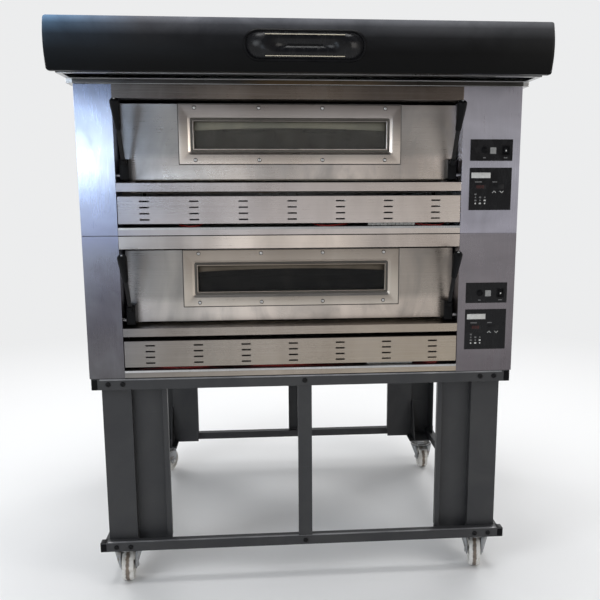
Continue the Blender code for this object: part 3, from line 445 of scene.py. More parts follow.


# Painted reflection and shade over the front, as slow changes of tone: (axis, waver, ((metres, colour), ...))
# painted reflection: bluish and darker at the left, warm at the right
ACROSS = (
    0, 0.05,
    (
        (-0.57, (0.46, 0.49, 0.58)), (-0.40, (0.70, 0.70, 0.74)), (-0.10, (0.90, 0.87, 0.88)),
        (0.50, (1.0, 0.94, 0.88)),
    ),
)
# painted shade: the lower deck's sheets darker than the upper deck's
DECK_DROP = (
    2, 0.01,
    (
        (0.72, (0.62, 0.58, 0.50)), (0.90, (0.64, 0.60, 0.54)), (1.17, (1.05, 1.03, 1.03)),
        (1.34, (1.05, 1.03, 1.03)),
    ),
)
# painted reflection across the doors: bluish and darker at the left, warm at the right
DOOR_ACROSS = (
    0, 0.05,
    (
        (-0.57, (0.56, 0.60, 0.68)), (-0.40, (0.84, 0.86, 0.88)), (-0.10, (1.0, 0.98, 0.97)),
        (0.50, (0.98, 0.92, 0.87)),
    ),
)
# painted reflection and shade: each door bright along its foot, darker towards its top
DOOR_DROP = (
    2, 0.008,
    (
        (0.88, (1.30, 1.22, 1.15)), (0.945, (1.27, 1.19, 1.12)), (0.97, (0.86, 0.82, 0.77)),
        (1.12, (0.68, 0.65, 0.62)), (1.34, (1.45, 1.40, 1.36)), (1.395, (1.35, 1.30, 1.28)),
        (1.42, (0.95, 0.95, 0.95)), (1.57, (0.74, 0.74, 0.76)),
    ),
)
# painted reflection and shade: each window frame bright along its foot, darker towards its top
FRAME_DROP = (
    2, 0.003,
    (
        (0.94, (1.0, 0.96, 0.90)), (0.985, (0.98, 0.93, 0.86)), (1.07, (0.62, 0.57, 0.52)),
        (1.125, (0.50, 0.46, 0.42)), (1.39, (1.50, 1.42, 1.36)), (1.435, (1.40, 1.34, 1.28)),
        (1.52, (0.52, 0.50, 0.50)), (1.575, (0.34, 0.32, 0.325)),
    ),
)
# painted reflection: the fascias darker at the left, bright and warm in the middle
FASCIA_ACROSS = (
    0, 0.02,
    (
        (-0.57, (0.66, 0.68, 0.72)), (-0.38, (0.72, 0.70, 0.70)), (-0.20, (1.30, 1.22, 1.14)),
        (0.10, (1.30, 1.20, 1.10)), (0.22, (0.90, 0.84, 0.80)), (0.50, (0.98, 0.90, 0.84)),
    ),
)
# painted shadow of the hood: the upper fascia darker towards its top
FASCIA_DROP = (
    2, 0.01,
    (
        (1.12, (1.10, 1.08, 1.08)), (1.17, (1.10, 1.08, 1.08)), (1.45, (0.30, 0.28, 0.26)),
        (1.62, (0.26, 0.24, 0.23)),
    ),
)
# painted reflection and shade: the left columns dark low down, bright and bluish higher up
LEFT_DROP = (
    2, 0.05,
    (
        (0.72, (0.19, 0.175, 0.17)), (0.95, (0.22, 0.205, 0.235)), (1.10, (0.38, 0.39, 0.46)),
        (1.19, (0.44, 0.46, 0.60)), (1.27, (0.60, 0.65, 0.82)), (1.36, (1.0, 1.05, 1.15)),
        (1.46, (0.98, 1.04, 1.18)), (1.53, (0.70, 0.76, 0.94)), (1.59, (0.34, 0.38, 0.50)),
        (1.62, (0.28, 0.31, 0.41)),
    ),
)
DECK_JOINT_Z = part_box("lower_top_fascia")[1][2]
# painted reflection and shade: the right columns darker on the lower deck, brighter and bluish on the upper
RIGHT_DROP = (
    2, 0.001,
    (
        (0.72, (0.36, 0.32, 0.33)), (1.10, (0.50, 0.46, 0.475)),
        (DECK_JOINT_Z - 0.002, (0.56, 0.52, 0.54)), (DECK_JOINT_Z + 0.002, (0.96, 0.93, 1.03)),
        (1.36, (1.15, 1.15, 1.26)), (1.62, (0.92, 0.90, 0.98)),
    ),
)
# painted highlight and shade: the hood's curve near black below, much lighter towards its top
HOOD_DROP = (
    2, 0.0,
    (
        (1.62, (0.10, 0.10, 0.10)), (1.69, (0.6, 0.6, 0.6)), (1.73, (2.6, 2.6, 2.6)),
        (1.76, (12.0, 12.0, 12.0)), (1.785, (42.0, 42.0, 42.0)),
    ),
)
# painted reflection: the hood bluish at its left end, darker at its right
HOOD_ACROSS = (0, 0.0, ((-0.72, (0.8, 1.4, 2.1)), (-0.45, (1.0, 1.0, 1.05)), (0.72, (0.7, 0.7, 0.7))))
# painted reflection: a warm golden patch in the middle of the shadowed steel
RECESS_ACROSS = (
    0, 0.03,
    (
        (-0.70, (0.5, 0.5, 0.52)), (-0.20, (0.5, 0.48, 0.46)), (-0.10, (1.2, 0.85, 0.5)),
        (0.20, (1.3, 1.0, 0.7)), (0.30, (0.6, 0.55, 0.5)), (0.70, (0.4, 0.4, 0.4)),
    ),
)
# The brushed steel entries are one steel in several tints and tones; their lighter, darker and tinted copies
# are painted reflection and shade.
MATERIALS = {
    "steel_x": brushed_steel(
        "steel_x", (0.66, 0.64, 0.62), (0.54, 0.515, 0.495),
        smudge_and_reflection=0.25, tones=(ACROSS, DECK_DROP), lines=0.35,
    ),
    "steel_fascia": brushed_steel(
        "steel_fascia", (0.60, 0.58, 0.56), (0.44, 0.42, 0.40),
        smudge_and_reflection=0.3, tones=(FASCIA_ACROSS, FASCIA_DROP), lines=0.3,
    ),
    # on the doors the strong smudges also paint dark reflections, besides wiped marks
    "steel_door": brushed_steel(
        "steel_door", (0.60, 0.58, 0.56), (0.36, 0.355, 0.35),
        smudge_and_reflection=0.8, tones=(DOOR_ACROSS, DOOR_DROP), lines=0.2,
    ),
    "steel_frame": brushed_steel(
        "steel_frame", (0.60, 0.57, 0.54), (0.50, 0.47, 0.44), smudge_and_reflection=0.3, tones=(FRAME_DROP,), lines=0.3
    ),
    # left and right columns: one steel in two tints, as painted reflection and shade
    "steel_left": brushed_steel(
        "steel_left", (0.62, 0.64, 0.68), (0.50, 0.52, 0.56),
        grain="z", smudge_and_reflection=0.5, tones=(LEFT_DROP,), lines=0.12,
    ),
    "steel_right": brushed_steel(
        "steel_right", (0.50, 0.50, 0.52), (0.38, 0.38, 0.40),
        grain="z", smudge_and_reflection=0.6, tones=(RIGHT_DROP,), lines=0.2,
    ),
    "steel_side": brushed_steel("steel_side", (0.52, 0.52, 0.52), (0.42, 0.42, 0.42), grain="z", smudge_and_reflection=0.35),
    "steel_plain": brushed_steel("steel_plain", (0.60, 0.59, 0.57), (0.48, 0.47, 0.46), smudge_and_reflection=0.3),
    "liner": heated_steel("liner"),
    "stand": coated_metal("stand_paint", (0.030, 0.0305, 0.033), (0.048, 0.048, 0.048), 0.44),
    # painted highlight: a lighter paint for the rails' lit top front edges
    "edge_light": coated_metal("painted_edge_highlight", (0.13, 0.13, 0.135), (0.30, 0.30, 0.31), 0.40, shine=0.5),
    # the hood's changes of colour are painted highlight, reflection and shade
    "hood": coated_metal(
        "hood_paint", (0.0040, 0.0041, 0.0044), (0.0075, 0.0076, 0.0080), 0.36, scuff=0.12, shine=0.10,
        tones=(HOOD_DROP, HOOD_ACROSS),
    ),
    # painted shade: darkened steel, with a painted warm reflection in its middle
    "shadow": brushed_steel(
        "shadowed_steel", (0.16, 0.155, 0.15), (0.12, 0.115, 0.11),
        smudge_and_reflection=0.2, tones=(RECESS_ACROSS,), lines=0.3,
    ),
    # painted shade in the pressed groove round each window
    "shade_in_groove": coated_metal("painted_groove_shade", (0.060, 0.054, 0.046), (0.11, 0.10, 0.085), 0.42, shine=0.5),
    # painted shade: near black for the recess under the hood
    "recess": coated_metal("recess_painted_shade", (0.010, 0.0095, 0.009), (0.030, 0.026, 0.022), 0.5, shine=0.2),
    "bracket": coated_metal("bracket_black", (0.006, 0.006, 0.007), (0.015, 0.0145, 0.014), 0.46, shine=0.15),
    "plastic": moulded_plastic("black_plastic", (0.0035, 0.0035, 0.004), (0.008, 0.008, 0.009), 0.36),
    "gloss": gloss_black("gloss_black"),
    "display": gloss_black("display_window", 0.30),
    # one fibre seal in two tones: the lower copy darker, as painted shade
    "seal_upper": coated_metal(
        "upper_fibre_seal", (0.14, 0.137, 0.112), (0.23, 0.215, 0.165), 0.6, shine=0.2
    ),
    "seal_lower": coated_metal(
        "lower_fibre_seal", (0.080, 0.065, 0.048), (0.155, 0.130, 0.100), 0.6, shine=0.2
    ),
    # one glass in two tones: the upper pane pale, as painted light, the lower dark, as painted shade
    "glass_upper": oven_glass("upper_pane", (0.42, 0.41, 0.38), (0.52, 0.51, 0.47), 1.32),
    "glass_lower": oven_glass("lower_pane", (0.10, 0.10, 0.10), (0.16, 0.155, 0.15), 1.16),
    "stone": hearth_stone(),
    "element": element_sheath(),
    "zinc": zinc_plate(),
    "zinc_matt": zinc_plate("zinc_matt", (0.40, 0.41, 0.42), (0.50, 0.62)),
    "print": plain_print("pale_print", (0.55, 0.55, 0.53)),
    "worn_print": plain_print("worn_print", (0.24, 0.24, 0.235)),
    "dim_print": plain_print("dim_print", (0.13, 0.13, 0.13)),
    "red_glow": plain_print("red_segments", (0.09, 0.012, 0.008), 0.3),
    "cream": plain_print("cream_enamel", (0.62, 0.56, 0.44), 0.35),
    "red_cable": silicone("red_silicone", (0.42, 0.022, 0.018)),
    # painted shadow line round each window frame
    "shadow_ring": silicone("painted_frame_shadow", (0.10, 0.095, 0.09)),
}

# ---- Mesh helpers ----------------------------------------------------------------------


def piece_from(name, builder, material, body, smooth=35.0):
    """Links a finished mesh as a piece that rides on a body."""
    mesh = bpy.data.meshes.new(name)
    builder.to_mesh(mesh)
    builder.free()
    mesh.materials.append(MATERIALS[material] if isinstance(material, str) else material)
    mesh.shade_smooth()
    mesh.set_sharp_from_angle(angle=math.radians(smooth))
    obj = bpy.data.objects.new(name, mesh)
    bpy.context.scene.collection.objects.link(obj)
    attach(obj, body)
    return obj


def add_box(builder, low, high, radius=0.0, segments=2):
    low, high = Vector(low), Vector(high)
    place = Matrix.Translation((low + high) / 2) @ Matrix.Diagonal((*(high - low), 1.0))
    made = bmesh.ops.create_cube(builder, size=1.0, matrix=place)
    if radius:
        edges = {edge for vert in made["verts"] for edge in vert.link_edges}
        bmesh.ops.bevel(
            builder, geom=list(edges), offset=radius, segments=segments, profile=0.5, affect="EDGES"
        )


def frame_axes(axis):
    """Two directions across a direction."""
    axis = Vector(axis).normalized()
    across = axis.orthogonal().normalized()
    return axis, across, axis.cross(across)


def add_turned(builder, profile, base, axis, segments=24):
    """Turns a profile of (radius, height) points round an axis; closed where the radius is 0."""
    axis, across, other = frame_axes(axis)
    rings = []
    for radius, height in profile:
        centre = Vector(base) + axis * height
        if radius == 0.0:
            rings.append([builder.verts.new(centre)])
            continue
        ring = []
        for step in range(segments):
            angle = 2 * math.pi * step / segments
            outward = across * math.cos(angle) + other * math.sin(angle)
            ring.append(builder.verts.new(centre + outward * radius))
        rings.append(ring)
    for first, second in zip(rings, rings[1:]):
        for step in range(segments):
            after = (step + 1) % segments
            corners = [first[step % len(first)], first[after % len(first)]]
            corners += [second[after % len(second)], second[step % len(second)]]
            unique = list(dict.fromkeys(corners))
            if len(unique) > 2:
                builder.faces.new(unique)


def rounded_outline(width, height, radius, steps=6):
    """Points round a rectangle with round corners, about the origin."""
    points = []
    corners = ((1, 1, 0), (-1, 1, 90), (-1, -1, 180), (1, -1, 270))
    for sx, sy, start in corners:
        cx, cy = sx * (width / 2 - radius), sy * (height / 2 - radius)
        for step in range(steps + 1):
            angle = math.radians(start + 90.0 * step / steps)
            points.append((cx + radius * math.cos(angle), cy + radius * math.sin(angle)))
    return points


def add_front_plate(builder, centre, outline, y_front, y_back, edge=0.0):
    """A plate facing -Y whose outline is (x, z) about a centre; edge rounds its front rim."""
    cx, cz = centre
    levels = [(y_back, 0.0), (y_front + edge, 0.0)]
    if edge:
        levels += [(y_front + edge * 0.35, edge * 0.35), (y_front, edge)]
    rings = []
    reach = max(abs(x) for x, _ in outline)
    rise = max(abs(z) for _, z in outline)
    for y, inset in levels:
        scale_x, scale_z = 1 - inset / reach, 1 - inset / rise
        rings.append([builder.verts.new((cx + x * scale_x, y, cz + z * scale_z)) for x, z in outline])
    count = len(outline)
    for first, second in zip(rings, rings[1:]):
        for i in range(count):
            j = (i + 1) % count
            builder.faces.new((first[i], first[j], second[j], second[i]))
    builder.faces.new(rings[-1])
    builder.faces.new(rings[0][::-1])


def fix_normals(builder):
    bmesh.ops.recalc_face_normals(builder, faces=builder.faces)


def add_screw(builder, place, axis, radius=0.004, height=0.002):
    """Domed screw head with a cross recess hinted by a dished centre."""
    profile = [
        (radius, 0.0),
        (radius, height * 0.35),
        (radius * 0.86, height * 0.75),
        (radius * 0.55, height),
        (radius * 0.30, height),
        (radius * 0.22, height * 0.55),
        (0.0, height * 0.50),
    ]
    add_turned(builder, profile, place, axis, 16)


def dress(node, material, bevel=0.0006, smooth=35.0):
    """Gives a CAD node its finish and softens its edges."""
    obj = frame["nodes"][node]
    chosen = MATERIALS[material] if isinstance(material, str) else material
    if not obj.material_slots:
        obj.data.materials.append(chosen)
    for place in obj.material_slots:
        place.material = chosen
    if bevel:
        weld = obj.modifiers.new("Weld", "WELD")
        weld.merge_threshold = 0.00001
        rounding = obj.modifiers.new("Bevel", "BEVEL")
        rounding.width = bevel
        rounding.segments = 2
        rounding.limit_method = "ANGLE"
        rounding.angle_limit = math.radians(smooth)
        rounding.harden_normals = False
    return obj


# ---- Decks -----------------------------------------------------------------------------

WINDOW_INSET = 0.0097         # glass edge hidden behind the frame
FRAME_MARGIN = {"left": 0.0466, "right": 0.0460, "bottom": 0.0482, "top": 0.0517}
PRESS_WIDTH = 0.020           # sloped band round the glass
DOOR_SHEET = 0.0015


def window_of(deck):
    """Low and high (x, z) of the glass that shows."""
    low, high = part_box(f"{deck}_door_glass")
    return (
        (low[0] + WINDOW_INSET, low[2] + WINDOW_INSET),
        (high[0] - WINDOW_INSET, high[2] - WINDOW_INSET),
    )


def rectangle_ring(builder, inner, outer, y_inner, y_outer):
    """Four quads between two rectangles (x0, x1, z0, z1) at two depths."""
    loop_strip(builder, loop(builder, sharp(outer), y_outer), loop(builder, sharp(inner), y_inner))


def sharp(rect):
    x0, x1, z0, z1 = rect
    return [(x0, z0), (x1, z0), (x1, z1), (x0, z1)]


def rounded(rect, radius, steps=5):
    x0, x1, z0, z1 = rect
    middle = ((x0 + x1) / 2, (z0 + z1) / 2)
    outline = rounded_outline(x1 - x0, z1 - z0, radius, steps)
    return [(middle[0] + x, middle[1] + z) for x, z in outline]


def loop(builder, outline, y):
    return [builder.verts.new((x, y, z)) for x, z in outline]


def loop_strip(builder, first, second):
    for i in range(len(first)):
        j = (i + 1) % len(first)
        builder.faces.new((first[i], first[j], second[j], second[i]))


def grown(rect, left, right=None, bottom=None, top=None):
    right = left if right is None else right
    bottom = left if bottom is None else bottom
    top = left if top is None else top
    x0, x1, z0, z1 = rect
    return (x0 - left, x1 + right, z0 - bottom, z1 + top)


WASHER = [(0.0, 0.0), (0.0062, 0.0), (0.0060, 0.0005), (0.0, 0.0005)]
DOOR_LIP = 0.015              # depth of the door's top lip
DOOR_STEP = 0.014             # how far its pan stops below the lip


def door(deck):
    body = f"{deck}_door"
    low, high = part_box(f"{deck}_door")
    (wx0, wz0), (wx1, wz1) = window_of(deck)
    glass = (wx0, wx1, wz0, wz1)
    glass_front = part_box(f"{deck}_door_glass")[0][1]
    front = low[1] + 0.003
    press = grown(glass, PRESS_WIDTH)
    rim = grown(glass, *(FRAME_MARGIN[k] for k in ("left", "right", "bottom", "top")))
    panel = (low[0], high[0], low[2], high[2])
    pan = grown(panel, -0.0015, top=-DOOR_STEP)

    builder = bmesh.new()
    rectangle_ring(builder, grown(press, 0.006), panel, front, front)
    rectangle_ring(builder, panel, panel, front, front + DOOR_LIP)
    rectangle_ring(builder, pan, panel, front + DOOR_LIP, front + DOOR_LIP)
    rectangle_ring(builder, pan, pan, front + DOOR_LIP, high[1])
    rectangle_ring(builder, grown(pan, -0.012), pan, high[1], high[1])
    bmesh.ops.remove_doubles(builder, verts=builder.verts, dist=0.00001)
    fix_normals(builder)
    skin = piece_from(f"{deck}_door_skin", builder, "steel_door", body)
    thicken(skin, DOOR_SHEET, 0.0010)
    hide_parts(f"{deck}_door")

    builder = bmesh.new()
    face = front - 0.0030
    rings = [
        loop(builder, rounded(rim, 0.0020), front - 0.0002),
        loop(builder, rounded(rim, 0.0020), face + 0.0010),
        loop(builder, rounded(grown(rim, -0.0010), 0.0020), face),
        loop(builder, rounded(press, 0.0100), face),
        loop(builder, rounded(grown(press, -0.0020), 0.0095), face + 0.0008),
        loop(builder, rounded(grown(press, -0.0080), 0.0065), face + 0.0066),
        loop(builder, rounded(grown(press, -0.0120), 0.0050), face + 0.0074),
        loop(builder, rounded(grown(glass, 0.0042), 0.0030), face + 0.0070),
        loop(builder, rounded(grown(glass, 0.0034), 0.0028), face + 0.0040),
        loop(builder, rounded(grown(glass, 0.0024), 0.0026), face + 0.0034),
        loop(builder, rounded(grown(glass, 0.0012), 0.0022), face + 0.0038),
        loop(builder, rounded(grown(glass, 0.0002), 0.0018), glass_front - 0.0003),
    ]
    for first, second in zip(rings, rings[1:]):
        loop_strip(builder, first, second)
    fix_normals(builder)
    pressed = piece_from(f"{deck}_window_frame", builder, "steel_frame", body)
    thicken(pressed, 0.0010, 0.0004)

    # dark sheet in the pressed groove round the glass: painted shade
    shade = bmesh.new()
    shade_y = face + 0.0064
    outer = loop(shade, rounded(grown(press, -0.0086), 0.0062), shade_y)
    loop_strip(shade, outer, loop(shade, rounded(grown(glass, 0.0046), 0.0034), shade_y))
    fix_normals(shade)
    groove = piece_from(f"{deck}_window_groove_shading", shade, "shade_in_groove", body)
    thicken(groove, 0.0003, 0.0)

    # dark ring just outside the window frame: painted shadow line round the proud frame
    builder = bmesh.new()
    outer = loop(builder, rounded(grown(rim, 0.0026), 0.0030), front - 0.0003)
    loop_strip(builder, outer, loop(builder, rounded(grown(rim, -0.0006), 0.0030), front - 0.0003))
    fix_normals(builder)
    frame_shade = piece_from(f"{deck}_window_rim_shadow", builder, "shadow_ring", body)
    thicken(frame_shade, 0.0004, 0.0)

    builder = bmesh.new()
    washers = bmesh.new()
    z_low, z_high = rim[2] + 0.0125, rim[3] - 0.0105
    first, last = rim[0] + 0.050, rim[1] - 0.050
    for i in range(4):
        x = first + (last - first) * i / 3
        for z in (z_low, z_high):
            add_screw(builder, (x, face - 0.0004, z), (0, -1, 0), 0.0048, 0.0028)
            add_turned(washers, WASHER, (x, face, z), (0, -1, 0), 20)
    piece_from(f"{deck}_window_screws", builder, "zinc", body)
    piece_from(f"{deck}_window_washers", washers, "bracket", body)

    builder = bmesh.new()
    back = high[1] - 0.0002
    hole = grown(glass, 0.004)
    rectangle_ring(builder, hole, grown(pan, -0.013), back - 0.003, back - 0.003)
    rectangle_ring(builder, hole, hole, back - 0.003, glass_front + 0.0066)
    bmesh.ops.remove_doubles(builder, verts=builder.verts, dist=0.00001)
    fix_normals(builder)
    lining = piece_from(f"{deck}_door_lining", builder, "liner", body)
    thicken(lining, 0.0010, 0.0008)
    dress(f"{deck}_door_glass", f"glass_{deck}", 0.0004)

    fibre_seal(deck, glass, glass_front)


SEAL_DEPTH = {"lower": (0.0113, 0.0197), "upper": (0.0193, 0.0276)}    # at the middle and at the ends


def fibre_seal(deck, glass, glass_front):
    """Fibre seal showing along the top of the pane, deeper towards both ends."""
    x0, x1, _, top = glass
    middle, ends = SEAL_DEPTH[deck]
    steps = 16
    outline = [(x1, top), (x0, top)]
    for i in range(steps + 1):
        along = i / steps
        outline.append((x0 + (x1 - x0) * along, top - middle - (ends - middle) * (2.0 * along - 1.0) ** 2))
    builder = bmesh.new()
    builder.faces.new(loop(builder, outline, glass_front - 0.0006))
    fix_normals(builder)
    seal = piece_from(f"{deck}_window_seal", builder, f"seal_{deck}", f"{deck}_door")
    thicken(seal, 0.0003, 0.0)


def thicken(obj, thickness, bevel):
    """Solid sheet from an open surface, with folded edges rounded."""
    sheet = obj.modifiers.new("Sheet", "SOLIDIFY")
    sheet.thickness = thickness
    sheet.offset = -1.0
    sheet.use_even_offset = True
    if bevel:
        rounding = obj.modifiers.new("Fold", "BEVEL")
        rounding.width = bevel
        rounding.segments = 3
        rounding.limit_method = "ANGLE"
        rounding.angle_limit = math.radians(35.0)


LEVER_LEAN = math.radians(28.0)
LEVER_LENGTH = 0.236
GRIP_LENGTH = 0.086
BLOCK_HALF = 0.014
LEVER_COLLAR = [(0.0, 0.0), (0.0105, 0.0), (0.0105, 0.010), (0.0085, 0.014), (0.0, 0.014)]
LEVER_GRIP = [
    (0.0, 0.0), (0.0062, 0.0), (0.0082, 0.0015), (0.0090, 0.005), (0.0100, 0.020), (0.0122, 0.046),
    (0.0140, 0.072), (0.0145, 0.084), (0.0138, 0.0895), (0.0112, 0.0930), (0.0060, 0.0945), (0.0, 0.0945),
]
PIVOT_PIN = [(0.0, -0.004), (0.0058, -0.004), (0.0058, 0.012), (0.0, 0.012)]
PIVOT_HEAD = [(0.0068, 0.0), (0.0068, 0.0030), (0.0060, 0.0042), (0.0, 0.0046)]


def lever(deck, side):
    body = f"{deck}_door"
    node = f"{deck}_door_lever_{side}"
    low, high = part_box(node)
    pivot = joint_place(f"{deck}_door_hinge")
    out = -1.0 if side == "left" else 1.0
    inner_x = low[0] if side == "right" else high[0]
    x = inner_x + out * BLOCK_HALF
    pivot.x = x
    direction = Vector((0.0, -math.sin(LEVER_LEAN), math.cos(LEVER_LEAN)))
    across = Vector((0.0, -math.cos(LEVER_LEAN), -math.sin(LEVER_LEAN)))

    builder = bmesh.new()
    block_top = pivot.z + 0.049
    block_low = (x - BLOCK_HALF, pivot.y - 0.016, low[2])
    add_box(builder, block_low, (x + BLOCK_HALF, pivot.y + 0.0297, block_top), 0.0022, 3)
    collar = pivot + direction * 0.052
    add_turned(builder, LEVER_COLLAR, collar - direction * 0.012, direction, 20)
    block = piece_from(f"{deck}_lever_block_{side}", builder, "plastic", body)
    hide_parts(node)

    builder = bmesh.new()
    half = Vector((0.006, 0.0, 0.0))
    depth = across * 0.0042
    start, end = pivot + direction * 0.035, pivot + direction * (LEVER_LENGTH - 0.020)
    rings = []
    for point in (start, end):
        corners = ((-1, -1), (1, -1), (1, 1), (-1, 1))
        rings.append([builder.verts.new(point + sx * half + sy * depth) for sx, sy in corners])
    for i in range(4):
        j = (i + 1) % 4
        builder.faces.new((rings[0][i], rings[0][j], rings[1][j], rings[1][i]))
    builder.faces.new(rings[0][::-1])
    builder.faces.new(rings[1])
    fix_normals(builder)
    bmesh.ops.bevel(builder, geom=list(builder.edges), offset=0.0012, segments=2, profile=0.5, affect="EDGES")
    piece_from(f"{deck}_lever_bar_{side}", builder, "bracket", body)

    builder = bmesh.new()
    add_turned(builder, LEVER_GRIP, pivot + direction * (LEVER_LENGTH - GRIP_LENGTH), direction, 28)
    piece_from(f"{deck}_lever_grip_{side}", builder, "plastic", body, 50.0)

    builder = bmesh.new()
    bolt_seat = (x + out * BLOCK_HALF, pivot.y, pivot.z)
    add_turned(builder, PIVOT_PIN, bolt_seat, (out, 0, 0), 20)
    add_turned(builder, PIVOT_HEAD, bolt_seat, (out, 0, 0), 6)
    add_screw(builder, pivot + direction * (LEVER_LENGTH + 0.0086), direction, 0.0034, 0.0016)
    piece_from(f"{deck}_lever_bolt_{side}", builder, "zinc", body)


DISPLAY_HEIGHT = 0.132
SWITCH_GAP = 0.021            # from the display's plate up to the switch plate
SWITCH_HALF = 0.033           # half the switch plate's height
BEZEL = 0.0042
PRESS_SWITCH = [
    (0.0105, 0.0), (0.0105, 0.0012), (0.0092, 0.0022), (0.0082, 0.0022),
    (0.0080, 0.0008), (0.0074, 0.0010), (0.0062, 0.0016), (0.0, 0.0018),
]


def control_plates(deck):
    """Front plates with displays, keys and printed marks; none of it is lettering."""
    low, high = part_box(f"{deck}_control_panel")
    x0, x1 = low[0], high[0]
    y = low[1]
    dress(f"{deck}_control_panel", "gloss", 0.0008)
    display_top = low[2] + DISPLAY_HEIGHT

    def mark(builder, x, z, width, height, radius, steps=2, proud=0.0003, edge=0.0):
        outline = rounded_outline(width, height, radius, steps)
        add_front_plate(builder, (x, z), outline, y - proud, y + 0.0002, edge)

    marks = bmesh.new()
    dim = bmesh.new()
    mark(marks, x0 + 0.0360, display_top - 0.0235, 0.061, 0.0170, 0.001, proud=0.0006, edge=0.0003)
    for x, w in ((x0 + 0.0285, 0.022), (x0 + 0.0810, 0.015)):
        mark(dim, x, display_top - 0.0440, w, 0.0030, 0.0008)
    for sign, x in ((1, x0 + 0.0800), (-1, x0 + 0.1040)):
        add_chevron(marks, x, display_top - 0.0740, y, 0.0062, sign)
    for i, count in enumerate((4, 3, 3)):
        for j in range(count):
            lit = marks if j == 0 or (i, j) == (2, 1) else dim
            x, z = x0 + 0.0205 + i * 0.0150, display_top - 0.1110 + j * 0.0095
            mark(lit, x, z, 0.0070 if (i + j) % 2 else 0.0046, 0.0050, 0.0022, 4)
    piece_from(f"{deck}_panel_labels", marks, "print", ROOT)
    windows = bmesh.new()
    for x in (x0 + 0.0350, x0 + 0.0930):
        mark(windows, x, display_top - 0.0590, 0.036, 0.0150, 0.001, proud=0.0005, edge=0.0003)
    piece_from(f"{deck}_displays", windows, "display", ROOT)
    digits = bmesh.new()
    for i in range(3):
        x = x0 + 0.0265 + i * 0.0085
        z = display_top - 0.0590
        for dz in (-0.0042, 0.0, 0.0042):
            add_front_plate(digits, (x, z + dz), rounded_outline(0.0044, 0.0010, 0.0004, 2), y - 0.0007, y)
        for dx in (-0.0025, 0.0025):
            add_front_plate(digits, (x + dx, z), rounded_outline(0.0010, 0.0080, 0.0004, 2), y - 0.0007, y)
    piece_from(f"{deck}_display_segments", digits, "red_glow", ROOT)

    middle = display_top + SWITCH_GAP + SWITCH_HALF
    plate = bmesh.new()
    push_x = x0 + 0.045
    add_turned(plate, PRESS_SWITCH, (push_x, y, middle), (0, -1, 0), 28)
    piece_from(f"{deck}_press_switch", plate, "plastic", ROOT, 50.0)
    mark(dim, push_x, middle - 0.0235, 0.009, 0.0030, 0.0008)
    sticker = bmesh.new()
    mark(sticker, x0 + 0.0725, middle - 0.0015, 0.0185, 0.0195, 0.001)
    piece_from(f"{deck}_plain_sticker", sticker, "worn_print", ROOT)
    rocker_x = x0 + 0.113
    ring = bmesh.new()
    outer = rounded_outline(0.016 + 2 * BEZEL, 0.022 + 2 * BEZEL, 0.003, 4)
    inner = rounded_outline(0.0158, 0.0218, 0.0015, 4)
    ring_plate(ring, (rocker_x, middle - 0.001), outer, inner, y - 0.0010, y + 0.0002)
    piece_from(f"{deck}_rocker_bezel", ring, "plastic", ROOT)
    mark(dim, rocker_x, middle - 0.0235, 0.012, 0.0028, 0.0008)
    piece_from(f"{deck}_panel_marks", dim, "dim_print", ROOT)
    screws = bmesh.new()
    for x in (x0 + 0.006, x1 - 0.006):
        for z in (middle, display_top - 0.046):
            add_screw(screws, (x, y, z), (0, -1, 0), 0.0026, 0.0012)
    piece_from(f"{deck}_panel_screws", screws, "bracket", ROOT)


def ring_plate(builder, centre, outer, inner, y_front, y_back):
    """Flat ring between two outlines with the same number of points."""
    cx, cz = centre
    rings = []
    for y in (y_front, y_back):
        for outline in (outer, inner):
            rings.append([builder.verts.new((cx + x, y, cz + z)) for x, z in outline])
    fo, fi, bo, bi = rings
    count = len(outer)
    for i in range(count):
        j = (i + 1) % count
        builder.faces.new((fo[i], fo[j], fi[j], fi[i]))
        builder.faces.new((bo[j], bo[i], bi[i], bi[j]))
        builder.faces.new((bo[i], bo[j], fo[j], fo[i]))
        builder.faces.new((fi[i], fi[j], bi[j], bi[i]))
    fix_normals(builder)


def add_chevron(builder, x, z, y, reach, sign):
    """Arrow head pointing up or down, raised like screen print."""
    thick = reach * 0.32
    points = [(-reach, -sign * reach * 0.45), (0.0, sign * reach * 0.45), (reach, -sign * reach * 0.45)]
    back = [(px, pz - thick) for px, pz in points[::-1]]
    outline = points + back
    if sign < 0:
        outline = outline[::-1]
    add_front_plate(builder, (x, z), outline[::-1], y - 0.0003, y + 0.0002)


def rocker(deck):
    dress(f"{deck}_power_switch", "gloss", 0.0006)
    low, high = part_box(f"{deck}_power_switch")
    builder = bmesh.new()
    centre = ((low[0] + high[0]) / 2, (low[2] + high[2]) / 2 - 0.001)
    dot = rounded_outline(0.0046, 0.0046, 0.0022, 5)
    add_front_plate(builder, centre, dot, low[1] + 0.0008, low[1] + 0.0030)
    piece_from(f"{deck}_rocker_mark", builder, "print", f"{deck}_power_switch")


def deck_shell(deck):
    for node in ("casing", "back_cover"):
        dress(f"{deck}_{node}", "steel_side", 0.0008)
    dress(f"{deck}_left_column", "steel_left", 0.0011)
    dress(f"{deck}_right_column", "steel_right", 0.0011)
    dress(f"{deck}_top_fascia", "steel_fascia", 0.0009)
    for node in ("door_ledge", "vent_panel"):
        dress(f"{deck}_{node}", "steel_x", 0.0009)
    dress(f"{deck}_baking_chamber", "liner", 0.0006)
    dress(f"{deck}_stone_floor", "stone", 0.0020)
    for node in ("top_element", "bottom_element"):
        dress(f"{deck}_{node}", "element", 0.0)


LEADS = {                     # start and end along X, and how far each lead waves up and down
    "upper": ((0.30, 0.47, 0.003), (-0.40, -0.31, 0.002), (0.02, 0.16, 0.002)),
    "lower": ((0.34, 0.46, 0.002), (-0.58, -0.22, 0.002), (-0.26, 0.20, 0.0015)),
}


